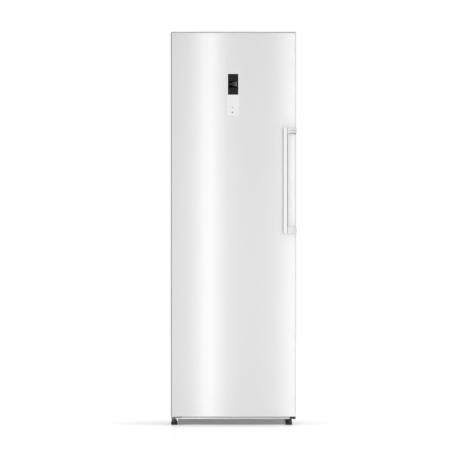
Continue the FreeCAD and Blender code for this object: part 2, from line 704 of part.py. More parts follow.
def door_top_cap():
    """Top end cap: a low shelf for the hinge arm behind a full-height front lip."""
    plug = door_outline(SKIN, DOOR_BACK_Y - SKIN, (CAP_SHELF_Z - CAP_DEPTH, CAP_SHELF_Z))
    edge = door_outline(0, DOOR_BACK_Y, (CAP_SHELF_Z - CAP_EDGE, CAP_SHELF_Z))
    ahead = block((-HALF, HALF), (DOOR_APEX_Y - 5, LIP_BACK_Y), (0, HEIGHT + 5))
    lip = door_outline(SKIN, DOOR_BACK_Y - SKIN, (CAP_SHELF_Z - 1, HEIGHT - CAP_EDGE)).common(ahead)
    rim = door_outline(0, DOOR_BACK_Y, (HEIGHT - CAP_EDGE, HEIGHT)).common(ahead)
    return fuse([plug, edge.cut(ahead), lip, rim]).cut(bush_holes(CAP_SHELF_Z - 30))


def door_bottom_cap():
    """Bottom end cap with the lower bush's bore."""
    plug = door_outline(SKIN, DOOR_BACK_Y - SKIN, (DOOR_BOTTOM, DOOR_BOTTOM + CAP_DEPTH))
    edge = door_outline(0, DOOR_BACK_Y, (DOOR_BOTTOM, DOOR_BOTTOM + CAP_EDGE))
    return fuse([plug, edge]).cut(bush_holes(DOOR_BOTTOM - 10))


def hinge_bushes():
    """Plastic bushes that run on the hinge pins."""
    bushes = []
    for z in (DOOR_BOTTOM, CAP_SHELF_Z - CAP_DEPTH):
        bush = rod((HINGE_X, HINGE_Y, z), Z, BUSH_R, CAP_DEPTH)
        bushes.append(bush.cut(rod((HINGE_X, HINGE_Y, z - 5), Z, PIN_R + RUNNING_GAP, CAP_DEPTH + 10)))
    return bushes


def screw_places():
    """Centres of the handle's four side screws, in height."""
    middles = (BAR_Z[0] + ARM_HEIGHT / 2, BAR_Z[1] - ARM_HEIGHT / 2)
    return [middle + step for middle in middles for step in (-8, 8)]


def screw_shanks():
    """The shanks of the handle's screws."""
    return [rod((HALF + WRAP - 20, SCREW_Y, z), X, 2, 25) for z in screw_places()]


def handle_screws():
    """Four screws through the arms into the door's side."""
    outer = HALF + WRAP
    screws = []
    for z in screw_places():
        shank = rod((outer - 20, SCREW_Y, z), X, 2, 19)
        head = rod((outer - 1.5, SCREW_Y, z), X, 4, 1.5)
        cross = [block((outer - 0.6, outer + 1), (SCREW_Y - 0.5, SCREW_Y + 0.5), (z - 2.6, z + 2.6)),
                 block((outer - 0.6, outer + 1), (SCREW_Y - 2.6, SCREW_Y + 2.6), (z - 0.5, z + 0.5))]
        screws.append(fuse([shank, head]).cut(fuse(cross)))
    return screws


def handle_arm(z0):
    """One end of the handle: sweeps from the bar round to the door's right side."""
    outer = HALF + WRAP
    reach = 32.0
    front, back = HANDLE_FRONT_Y, HANDLE_FRONT_Y + BAR_DEPTH
    centre = Vector(outer - reach, front + reach, z0)
    slant = math.sqrt(0.5)
    inner = reach - BAR_DEPTH
    out_mid = centre + Vector(reach * slant, -reach * slant, 0)
    in_mid = centre + Vector(inner * slant, -inner * slant, 0)
    root_y = DOOR_EDGE_Y + 22
    corner = [Vector(BAR_X[0] + 2, front, z0), Vector(centre.x, front, z0), Vector(outer, centre.y, z0),
              Vector(outer, root_y, z0), Vector(HALF - 4, root_y, z0), Vector(centre.x + inner, DOOR_EDGE_Y, z0),
              Vector(centre.x + inner, centre.y, z0), Vector(centre.x, back, z0),
              Vector(BAR_X[0] + 2, back, z0)]
    edges = [Part.makeLine(corner[0], corner[1]), Part.Arc(corner[1], out_mid, corner[2]).toShape(),
             Part.makeLine(corner[2], corner[3]), Part.makeLine(corner[3], corner[4]),
             Part.makeLine(corner[4], corner[5]), Part.makeLine(corner[5], corner[6]),
             Part.Arc(corner[6], in_mid, corner[7]).toShape(), Part.makeLine(corner[7], corner[8]),
             Part.makeLine(corner[8], corner[0])]
    return Part.Face(Part.Wire(edges)).extrude(Vector(0, 0, ARM_HEIGHT))


def handle():
    """Upright bar with a swept arm at each end, in one moulding."""
    bar = rounded_block(BAR_X, (HANDLE_FRONT_Y, HANDLE_FRONT_Y + BAR_DEPTH), BAR_Z, 4.5)
    arms = [handle_arm(BAR_Z[0]), handle_arm(BAR_Z[1] - ARM_HEIGHT)]
    door = door_outline(0, DOOR_BACK_Y, (BAR_Z[0] - 5, BAR_Z[1] + 5))
    heads = [rod((HALF + WRAP - 1.5, SCREW_Y, z), X, 4, 5) for z in screw_places()]
    return cut(fuse([bar] + arms).cut(door), heads + screw_shanks())


def panel_frame():
    """Control panel frame, with a box behind it for the board."""
    front = DOOR_APEX_Y - PANEL_PROUD
    plate = rounded_block(PANEL_X, (front, DOOR_APEX_Y), PANEL_Z, 4, Y)
    x = (PANEL_X[0] + 2, PANEL_X[1] - 2)
    z = (PANEL_Z[0] + 2, PANEL_Z[1] - 2)
    box = block(x, (DOOR_APEX_Y, POCKET_BACK_Y), z)
    hollow = block((x[0] + 2, x[1] - 2), (DOOR_APEX_Y, POCKET_BACK_Y - 2), (z[0] + 2, z[1] - 2))
    window = block(WINDOW_X, (front - 1, DOOR_APEX_Y + 1), WINDOW_Z)
    keys = block(WINDOW_X, (front - 1, DOOR_APEX_Y + 1), KEYS_Z)
    return fuse([plate, box]).cut(hollow).cut(window).cut(keys)


def display_window():
    """Dark window, flush in the frame."""
    return block(WINDOW_X, (DOOR_APEX_Y - PANEL_PROUD + 0.3, DOOR_APEX_Y), WINDOW_Z)


def key_pad():
    """Touch key overlay, flush in the frame."""
    return block(WINDOW_X, (DOOR_APEX_Y - PANEL_PROUD + 0.2, DOOR_APEX_Y), KEYS_Z)


def display_board():
    """Circuit board behind the window, with its digit block against the glass."""
    board = block((PANEL_X[0] + 6, PANEL_X[1] - 6), (-304, -302.4), (PANEL_Z[0] + 8, PANEL_Z[1] - 8))
    digits = block((-22, 18), (DOOR_APEX_Y + 0.5, -304), (1603, 1637))
    sensor = block((-20, 16), (DOOR_APEX_Y + 0.5, -304), (1482, 1520))
    return fuse([board, digits, sensor])


# Hinges, feet and rollers

def hinge_top_bracket():
    """Plate on the cabinet's top whose nose carries the upper pin."""
    z = (CABINET_TOP, CABINET_TOP + 3)
    nose = rod((HINGE_X, HINGE_Y, z[0]), Z, 14, 3)
    arm = block((HINGE_X - 6, HINGE_X + 60), (HINGE_Y, HINGE_Y + 125), z)
    pin = rod((HINGE_X, HINGE_Y, CAP_SHELF_Z - CAP_DEPTH + 1), Z, PIN_R, CABINET_TOP - CAP_SHELF_Z + CAP_DEPTH)
    holes = [rod((x, y, z[0] - 5), Z, 3.0, 20) for x, y in TOP_BOLTS]
    return cut(fuse([nose, arm, pin]), holes)


def hinge_top_cover():
    """Plastic lid over the upper hinge plate, open where the arm comes out."""
    outer = rounded_block((-HALF + 1.5, HINGE_X + 78), (CABINET_FRONT_Y + 4, HINGE_Y + 140),
                          (CABINET_TOP, CABINET_TOP + 18), 8)
    inner = rounded_block((-HALF + 3.5, HINGE_X + 76), (CABINET_FRONT_Y + 6, HINGE_Y + 138),
                          (CABINET_TOP - 1, CABINET_TOP + 16), 6)
    arm = block((HINGE_X - 7, HINGE_X + 61), (HINGE_Y, HINGE_Y + 60), (CABINET_TOP - 1, CABINET_TOP + 4))
    return outer.cut(inner).cut(arm)


def hinge_bottom_bracket():
    """Angle on the rail's face whose foot carries the lower pin."""
    face = CABINET_FRONT_Y + 2
    left = HINGE_X - 9
    foot = block((left, HINGE_X + 41), (HINGE_Y, face), (33, 36))
    nose = rod((HINGE_X, HINGE_Y, 33), Z, 11.5, 3)
    flange = block((left, HINGE_X + 41), (face - 3, face), (33, BASE_Z - 3))
    pin = rod((HINGE_X, HINGE_Y, 33), Z, PIN_R, DOOR_BOTTOM + CAP_DEPTH - 34)
    holes = [rod((x, face - 10, LOW_BOLT_Z), Y, 3.0, 20) for x in LOW_BOLTS_X]
    return cut(fuse([foot, nose, flange, pin]), holes)


def hexagon(centre, axis, across, tall):
    """A hexagonal head with its base on a point."""
    points = []
    for corner in range(7):
        angle = math.radians(60 * corner)
        a, b = across * math.cos(angle), across * math.sin(angle)
        points.append(Vector(a, b, 0) if axis is Z else Vector(a, 0, b))
    head = Part.Face(Part.makePolygon(points)).extrude((Z if axis is Z else Y * -1) * tall)
    head.translate(Vector(*centre))
    return head


def hinge_bolts():
    """Bolts of both hinges, and the nut under the lower pin."""
    solids = []
    for x, y in TOP_BOLTS:
        shank = rod((x, y, CABINET_TOP - 15), Z, 3.0, 18)
        solids.append(fuse([shank, hexagon((x, y, CABINET_TOP + 3), Z, 5.8, 4)]))
    face = CABINET_FRONT_Y - 1
    for x in LOW_BOLTS_X:
        shank = rod((x, face, LOW_BOLT_Z), Y, 3.0, 12)
        solids.append(fuse([shank, hexagon((x, face, LOW_BOLT_Z), Y, 5.8, 4)]))
    solids.append(rod((HINGE_X, HINGE_Y, 20), Z, 8.5, 13))
    return solids


def door_stop_bracket():
    """Black angle at the lower right, with a tongue under the door."""
    face = CABINET_FRONT_Y + 2
    wide = block((270, 293), (face - 3, face), (30, 40))
    leg = block((270, 278), (face - 3, face), (9, 40))
    tongue = block((270, 293), (face - 24, face), (37, 40))
    return fuse([wide, leg, tongue])


def levelling_foot(x):
    """Screw foot under the rail."""
    outline = [(0, 0), (13.5, 0), (15, 2), (15, 18), (12, 21), (11, 29), (STEM_R, 29), (STEM_R, 52), (0, 52)]
    face = Part.Face(Part.makePolygon([Vector(r, 0, z) for r, z in outline + outline[:1]]))
    foot = face.revolve(Vector(0, 0, 0), Z, 360)
    grips = []
    for turn in range(12):
        angle = math.radians(30 * turn)
        grips.append(rod((16 * math.cos(angle), 16 * math.sin(angle), 5), Z, 2, 10))
    foot = cut(foot, grips)
    foot.translate(Vector(x, FOOT_Y, 0))
    return foot


def roller(x):
    """Rear transport roller with a grooved tyre face."""
    wheel = rod((x - 9, ROLLER_Y, ROLLER_R), X, ROLLER_R, 18)
    groove = rod((x - 2, ROLLER_Y, ROLLER_R), X, ROLLER_R + 1, 4).cut(
        rod((x - 2, ROLLER_Y, ROLLER_R), X, ROLLER_R - 1.5, 4))
    return wheel.cut(groove).cut(rod((x - 20, ROLLER_Y, ROLLER_R), X, AXLE_R + RUNNING_GAP, 40))


def main():
    """Write every node."""
    os.makedirs("parts", exist_ok=True)
    save("side_panels", side_panel(-1), side_panel(1))
    save("top_panel", top_panel())
    save("cabinet_insulation", cabinet_insulation())
    save("inner_liner", inner_liner())
    save("rear_panel", rear_panel())
    save("base_plate", base_plate())
    save("front_rail", front_rail())
    save("kick_plate", kick_plate())
    save("machine_tray", machine_tray())
    save("machine_cover", machine_cover())
    save("condenser_tube", condenser_tube())
    save("condenser_wires", *condenser_wires())
    save("compressor", compressor())
    save("compressor_mounts", *compressor_mounts())
    save("start_relay_box", start_relay_box())
    save("refrigerant_tubes", *refrigerant_tubes())
    save("evaporator", *evaporator())
    save("defrost_heater", defrost_heater())
    save("evaporator_cover", evaporator_cover())
    save("fan_motor", fan_motor())
    save("fan_impeller", fan_impeller())
    save("drip_gutter", drip_gutter())
    save("drip_tray", drip_tray())
    save("mains_inlet", mains_inlet())
    save("rear_spacers", *rear_spacers())
    save("light_lens", light_lens())
    save("glass_shelves", *glass_shelves())
    for index, hinge_z in enumerate(FLAP_HINGES):
        save(f"flap_{index + 1}", flap(hinge_z))
    for index, (floor, tall, back) in enumerate(drawer_places()):
        save(f"drawer_tub_{index + 1}", drawer_tub(floor, tall, back))
        save(f"drawer_front_{index + 1}", drawer_front(floor, tall))
    save("door_skin", door_skin())
    save("door_insulation", door_insulation())
    save("door_liner", door_liner())
    save("door_gasket", door_gasket())
    save("door_top_cap", door_top_cap())
    save("door_bottom_cap", door_bottom_cap())
    save("hinge_bushes", *hinge_bushes())
    save("handle", handle())
    save("handle_screws", *handle_screws())
    save("panel_frame", panel_frame())
    save("display_window", display_window())
    save("key_pad", key_pad())
    save("display_board", display_board())
    save("hinge_top_bracket", hinge_top_bracket())
    save("hinge_top_cover", hinge_top_cover())
    save("hinge_bottom_bracket", hinge_bottom_bracket())
    save("hinge_bolts", *hinge_bolts())
    save("door_stop_bracket", door_stop_bracket())
    save("foot_left", levelling_foot(FOOT_LEFT_X))
    save("foot_right", levelling_foot(FOOT_RIGHT_X))
    save("roller_left", roller(-ROLLER_X))
    save("roller_right", roller(ROLLER_X))


main()
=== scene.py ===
"""Looks of the tall upright freezer: finishes, rounded sheet metal, mouldings, studio and camera."""
import json
import logging
import math
from dataclasses import dataclass
from enum import Enum
from typing import Iterable, Optional, Sequence, Union

import bmesh
import bpy
from mathutils import Matrix, Vector

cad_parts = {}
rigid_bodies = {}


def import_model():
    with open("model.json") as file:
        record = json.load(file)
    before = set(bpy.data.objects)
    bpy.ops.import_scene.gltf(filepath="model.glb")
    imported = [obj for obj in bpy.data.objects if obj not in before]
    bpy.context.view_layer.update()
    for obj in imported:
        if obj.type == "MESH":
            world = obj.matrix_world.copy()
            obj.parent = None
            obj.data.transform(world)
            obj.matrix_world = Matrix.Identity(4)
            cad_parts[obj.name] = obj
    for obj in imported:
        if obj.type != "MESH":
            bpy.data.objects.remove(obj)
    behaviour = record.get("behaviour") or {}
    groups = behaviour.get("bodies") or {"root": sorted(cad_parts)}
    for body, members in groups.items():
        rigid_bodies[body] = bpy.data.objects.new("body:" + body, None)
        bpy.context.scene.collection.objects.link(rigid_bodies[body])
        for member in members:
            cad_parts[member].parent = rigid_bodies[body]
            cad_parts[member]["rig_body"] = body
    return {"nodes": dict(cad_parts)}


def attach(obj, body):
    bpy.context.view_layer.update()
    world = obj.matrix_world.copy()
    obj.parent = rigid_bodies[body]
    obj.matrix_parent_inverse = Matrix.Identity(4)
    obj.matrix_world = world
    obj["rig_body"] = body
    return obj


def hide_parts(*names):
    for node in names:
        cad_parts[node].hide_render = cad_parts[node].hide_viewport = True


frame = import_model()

log = logging.getLogger("freezer")
logging.basicConfig(level=logging.INFO, format="%(name)s %(levelname)s %(message)s")

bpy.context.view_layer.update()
WELD = 2e-6
NEAR = 1e-5
Point = tuple[float, float, float]
Pair = tuple[float, float]
Number = Union[float, "Signal"]


# ---------------------------------------------------------------- shader maths

class Signal:
    """A node socket that takes part in Python expressions."""

    def __init__(self, net: "Network", socket: Optional[bpy.types.NodeSocket]) -> None:
        """Wrap one output socket of a network, or none for an output node."""
        self.net = net
        self.socket = socket

    def _math(self, operation: str, first: Number, second: Number) -> "Signal":
        """Add one Math node."""
        return self.net.node("ShaderNodeMath", {"operation": operation}, n0=first, n1=second)

    def __add__(self, other: Number) -> "Signal":
        """Sum."""
        return self._math("ADD", self, other)

    def __sub__(self, other: Number) -> "Signal":
        """Difference."""
        return self._math("SUBTRACT", self, other)

    def __rsub__(self, other: Number) -> "Signal":
        """Difference from a number."""
        return self._math("SUBTRACT", other, self)

    def __mul__(self, other: Number) -> "Signal":
        """Product."""
        return self._math("MULTIPLY", self, other)

    def clip(self) -> "Signal":
        """Limit to 0..1."""
        return self.net.node("ShaderNodeClamp", n0=self)

    def above(self, edge: float, soft: float) -> "Signal":
        """A smooth step.

        Args:
            edge: Where the step is half way.
            soft: Half the step's width.

        Returns:
            0 below the step and 1 above it.
        """
        return ((self - (edge - soft)) * (0.5 / soft)).clip()


class Network:
    """The nodes of one material or world."""

    def __init__(self, tree: bpy.types.NodeTree) -> None:
        """Start with an empty tree."""
        self.tree = tree
        tree.nodes.clear()

    def node(self, kind: str, settings: Optional[dict] = None, output: Union[int, str] = 0,
             **sockets: object) -> Signal:
        """Add a node.

        Args:
            kind: The node's type.
            settings: Properties that are set first.
            output: Which output to return.
            sockets: Values or signals by input name, with spaces written as underscores, or by number as n0.

        Returns:
            The chosen output.
        """
        made = self.tree.nodes.new(kind)
        for key, value in (settings or {}).items():
            setattr(made, key, value)
        for key, value in sockets.items():
            numbered = key[0] == "n" and key[1:].isdigit()
            slot = made.inputs[int(key[1:]) if numbered else key.replace("_", " ")]
            if isinstance(value, Signal):
                self.tree.links.new(value.socket, slot)
            else:
                slot.default_value = value
        return Signal(self, made.outputs[output] if len(made.outputs) else None)

    def position(self, stretch: Point = (1, 1, 1)) -> Signal:
        """Object coordinates, scaled on each axis."""
        coords = self.node("ShaderNodeTexCoord", output="Object")
        return coords if stretch == (1, 1, 1) else self.node("ShaderNodeMapping", Vector=coords, Scale=stretch)

    def noise(self, scale: float, detail: float, roughness: float = 0.5, stretch: Point = (1, 1, 1)) -> Signal:
        """Noise around 0.5 on object coordinates.

        Args:
            scale: Features per metre.
            detail: Octaves.
            roughness: Weight of the fine octaves.
            stretch: Scale of the coordinates on each axis.

        Returns:
            The noise value.
        """
        return self.node("ShaderNodeTexNoise", Vector=self.position(stretch), Scale=scale, Detail=detail,
                         Roughness=roughness)

    def cells(self, scale: float, output: str) -> Signal:
        """Cells on object coordinates: their Distance or Color output."""
        return self.node("ShaderNodeTexVoronoi", None, output, Vector=self.position(), Scale=scale)

    def mix(self, factor: Signal, first: Point, second: Point) -> Signal:
        """A colour between two, by a factor of 0 for the first and 1 for the second."""
        return self.node("ShaderNodeMix", {"data_type": "RGBA"}, 2, n0=factor, n6=(*first, 1), n7=(*second, 1))

    def bump(self, height: Signal, strength: float, distance: float) -> Signal:
        """Normal bent by a height of about 0..1, with a depth in metres for a height of 1."""
        return self.node("ShaderNodeBump", Height=height, Strength=strength, Distance=distance)


# ---------------------------------------------------------------- finishes

class Grain(Enum):
    """Small surface pattern: noise scale, octaves and roughness, then bump strength and depth."""

    ORANGE_PEEL = (420.0, 1.0, 0.5, 0.10, 0.0003)
    MOULDED = (900.0, 2.0, 0.5, 0.12, 0.0002)
    SPARK = (1600.0, 2.0, 0.7, 0.45, 0.0003)
    SPANGLE = (300.0, 2.0, 0.5, 0.08, 0.0002)
    DRAWN = (900.0, 2.0, 0.6, 0.12, 0.0002)
    FOAM = (900.0, 0.0, 0.0, 0.6, 0.001)
    FROST = (700.0, 3.0, 0.6, 0.15, 0.0003)
    RUBBER = (1200.0, 3.0, 0.6, 0.2, 0.0002)
    PLAIN_GLASS = (12.0, 1.0, 0.5, 0.02, 0.0005)


@dataclass(frozen=True)
class Finish:
    """One surface finish."""

    name: str
    colour: Point
    roughness: float
    grain: Grain
    slot: str
    metallic: float = 0.0
    coat: float = 0.0
    coat_roughness: float = 0.1
    coat_ior: float = 1.5
    specular: float = 0.5
    alpha: float = 1.0
    glow: float = 0.0
    dust: float = 0.03

    def material(self) -> bpy.types.Material:
        """The finish's material, made once.

        Returns:
            The material.
        """
        found = bpy.data.materials.get(self.name)
        if found:
            return found
        made = bpy.data.materials.new(self.name)
        made.use_nodes = True
        net = Network(made.node_tree)
        tone, rough, normal = self._surface(net)
        spec = {
            "Base_Color": tone, "Roughness": rough, "Normal": normal, "Metallic": self.metallic,
            "Coat_Weight": self.coat, "Coat_Roughness": self.coat_roughness, "Coat_IOR": self.coat_ior,
            "Specular_IOR_Level": self.specular, "Alpha": self.alpha,
        }
        if self.glow:
            spec["Emission_Color"] = (*self.colour, 1)
            spec["Emission_Strength"] = self.glow
        net.node("ShaderNodeOutputMaterial", Surface=net.node("ShaderNodeBsdfPrincipled", **spec))
        if self.alpha < 1:
            made.surface_render_method = "BLENDED"
        return made

    def _shade(self, share: float, lift: float = 0.0) -> Point:
        """The finish's colour, at a share of its strength."""
        return tuple(c * share + lift for c in self.colour)

    def _around(self, signal: Signal, spread: float, below: float) -> Signal:
        """The finish's roughness, varied by a signal of 0..1."""
        return signal * spread + (self.roughness - below)

    def _surface(self, net: Network) -> tuple[Signal, Signal, Signal]:
        """Colour, roughness and normal of the finish's grain.

        Args:
            net: The material's nodes.

        Returns:
            Colour, roughness and normal signals.
        """
        scale, detail, fine, strength, depth = self.grain.value
        cloud = net.noise(3.0, 4.0)
        tone = net.mix(cloud, self.colour, self._shade(1 - self.dust))
        rough = self._around(cloud, 0.06, 0.03)
        if self.grain is Grain.FOAM:
            relief = net.cells(scale, "Distance")
            tone = net.mix(relief, self.colour, self._shade(0.75))
        else:
            relief = net.noise(scale, detail, fine, (1, 1, 0.02) if self.grain is Grain.DRAWN else (1, 1, 1))
        if self.grain is Grain.SPARK:
            tone = net.mix(relief.above(0.5, 0.3) * 0.25, self.colour, self._shade(0.6, 0.02))
        elif self.grain is Grain.SPANGLE:
            bright = net.node("ShaderNodeSeparateColor", Color=net.cells(90.0, "Color"))
            tone = net.mix(bright, self._shade(0.82), self.colour)
            rough = self._around(bright, 0.16, 0.08)
        elif self.grain is Grain.DRAWN:
            tone = net.mix(relief, self.colour, self._shade(0.8))
            rough = self._around(relief, 0.15, 0.07)
        elif self.grain is Grain.FROST:
            rough = self._around(relief, 0.12, 0.06)
        return tone, rough, net.bump(relief, strength, depth)

    def dress(self, piece: bpy.types.Object) -> None:
        """Give a piece this finish alone."""
        piece.data.materials.clear()
        piece.data.materials.append(self.material())


WHITE_DOOR = Finish("enamel_door", (0.66, 0.66, 0.66), 0.34, Grain.ORANGE_PEEL, "door_paint", coat=1.0,
                    coat_roughness=0.20, coat_ior=1.9, dust=0.01)
WHITE_CABINET = Finish("enamel_cabinet", (0.74, 0.74, 0.745), 0.42, Grain.ORANGE_PEEL, "cabinet_paint",
                       coat=0.3, coat_roughness=0.25)
RAIL_WHITE = Finish("satin_rail", (0.93, 0.93, 0.93), 0.3, Grain.ORANGE_PEEL, "cabinet_paint", metallic=0.22,
                    coat=0.4)
# Mid grey: painted shade on the strip set back above the base rail, and the printed line above the keys.
SHADE_AND_PRINT_GREY = Finish("cap_plastic", (0.52, 0.52, 0.525), 0.42, Grain.MOULDED, "cap_plastic")
# Dark grey for the door's top cap: painted shade along the door's top edge.
CAP_PAINTED_SHADE = Finish("cap_plastic_painted_shade", (0.44, 0.44, 0.445), 0.55, Grain.MOULDED, "cap_plastic", specular=0.2)
COVER_WHITE = Finish("cover_plastic", (0.72, 0.72, 0.72), 0.45, Grain.SPARK, "cap_plastic")
HANDLE_WHITE = Finish("handle_plastic", (0.86, 0.86, 0.86), 0.24, Grain.MOULDED, "handle_white", coat=0.6,
                      coat_roughness=0.08, dust=0.01)
# A darker copy of the handle's white for its arms: painted shade.
ARM_PAINTED_SHADE = Finish("arm_painted_shade_plastic", (0.74, 0.74, 0.74), 0.35, Grain.MOULDED, "handle_white", dust=0.01)
# Dark grey for strips that stand in for shade: painted shade down the handle bar's right side, round the door's
# hinge-side edge and over the upper arm.
PAINTED_SHADE_GREY = Finish("handle_edge", (0.30, 0.30, 0.305), 0.4, Grain.MOULDED, "handle_white")
PANEL_WHITE = Finish("panel_plastic", (0.80, 0.80, 0.80), 0.3, Grain.MOULDED, "panel_white", coat=0.4, dust=0.01)
# Brighter white than the panel for the lip round the window: painted highlight.
PANEL_PAINTED_HIGHLIGHT = Finish("panel_painted_highlight", (0.9, 0.9, 0.9), 0.25, Grain.MOULDED, "panel_white", dust=0.01)
WINDOW_BLACK = Finish("window_smoked", (0.004, 0.004, 0.0045), 0.12, Grain.PLAIN_GLASS, "window_black",
                      specular=0.22)
WINDOW_DEEP = Finish("window_mask", (0.0006, 0.0006, 0.0006), 0.3, Grain.PLAIN_GLASS, "window_black",
                     specular=0.02)
DIGIT_GLOW = Finish("digit_segments", (0.20, 0.20, 0.21), 0.5, Grain.PLAIN_GLASS, "window_black", glow=0.25)
KEY_INK = Finish("key_ink", (0.12, 0.12, 0.12), 0.5, Grain.MOULDED, "panel_white")
LINER = Finish("liner_plastic", (0.78, 0.785, 0.79), 0.35, Grain.MOULDED, "liner_white", coat=0.2)
FOAM = Finish("rigid_foam", (0.72, 0.62, 0.4), 0.9, Grain.FOAM, "foam")
GALVANISED = Finish("galvanised_sheet", (0.56, 0.57, 0.58), 0.42, Grain.SPANGLE, "galvanised", metallic=0.9)
PLINTH = Finish("plinth_plastic", (0.38, 0.38, 0.38), 0.55, Grain.SPARK, "plinth_grey")
BLACK_PLASTIC = Finish("black_plastic", (0.012, 0.012, 0.012), 0.5, Grain.SPARK, "black_plastic")
BLACK_STEEL = Finish("black_enamel", (0.012, 0.012, 0.013), 0.35, Grain.ORANGE_PEEL, "black_steel", coat=0.2)
ZINC = Finish("zinc_plate", (0.42, 0.43, 0.44), 0.38, Grain.DRAWN, "hinge_steel", metallic=0.9)
SEAL = Finish("seal_vinyl", (0.62, 0.62, 0.62), 0.6, Grain.RUBBER, "gasket")
RUBBER = Finish("black_rubber", (0.02, 0.02, 0.02), 0.7, Grain.RUBBER, "rubber_black")
COPPER = Finish("copper_tube", (0.72, 0.36, 0.22), 0.32, Grain.DRAWN, "copper", metallic=1.0, dust=0.2)
ALUMINIUM = Finish("bare_aluminium", (0.78, 0.79, 0.8), 0.35, Grain.DRAWN, "aluminium", metallic=1.0)
GLASS = Finish("shelf_glass", (0.80, 0.90, 0.88), 0.04, Grain.PLAIN_GLASS, "shelf_glass", alpha=0.35)
CLEAR = Finish("frosted_clear", (0.80, 0.87, 0.92), 0.22, Grain.FROST, "drawer_clear", alpha=0.55)
TUB = Finish("tub_plastic", (0.80, 0.82, 0.84), 0.36, Grain.MOULDED, "tub_white")
LENS = Finish("opal_lens", (0.92, 0.92, 0.9), 0.4, Grain.FROST, "lens", glow=1.6)
BOARD = Finish("circuit_board", (0.03, 0.18, 0.08), 0.4, Grain.MOULDED, "board_green")
NYLON = Finish("natural_nylon", (0.78, 0.77, 0.72), 0.45, Grain.MOULDED, "nylon")


# ---------------------------------------------------------------- mesh tools

class Axis(Enum):
    """The direction in which an outline is pulled."""

    X = 0
    Y = 1
    Z = 2

    def point(self, a: float, b: float, along: float) -> Point:
        """A point from its place in the outline and along the axis."""
        return {Axis.X: (along, a, b), Axis.Y: (a, along, b), Axis.Z: (a, b, along)}[self]


def mm(*pairs: Pair) -> list[Pair]:
    """Pairs in millimetres, as metres."""
    return [(a / 1000, b / 1000) for a, b in pairs]


def quad(a: Pair, b: Pair) -> list[Pair]:
    """The four corners of a rectangle from its two ranges."""
    return [(a[0], b[0]), (a[1], b[0]), (a[1], b[1]), (a[0], b[1])]


def inside(span: Pair, inset: float) -> Pair:
    """A range that is drawn in at both ends."""
    return span[0] + inset, span[1] - inset


def every(radius: float, corners: Iterable[int] = range(4)) -> dict[int, float]:
    """The same rounding at each of some corners."""
    return dict.fromkeys(corners, radius)


def half_round(steps: int, inset: float, wide: float, base: float, rise: float, radius: float,
               widen: float = 0.0) -> list[Point]:
    """The section of a half-round bead.

    Args:
        steps: Steps in its arc.
        inset: Where it starts.
        wide: Half its width.
        base: Where its foot is along the axis.
        rise: How far it stands out along the axis.
        radius: Corner radius of its first line.
        widen: How much that radius grows with the distance from the first line.

    Returns:
        Inset, place along the axis and corner radius of each line.
    """
    section = []
    for step in range(steps + 1):
        angle = math.pi * step / steps
        across = wide * (1 - math.cos(angle))
        section.append((inset + across, base + rise * math.sin(angle), radius + widen * across))
    return section


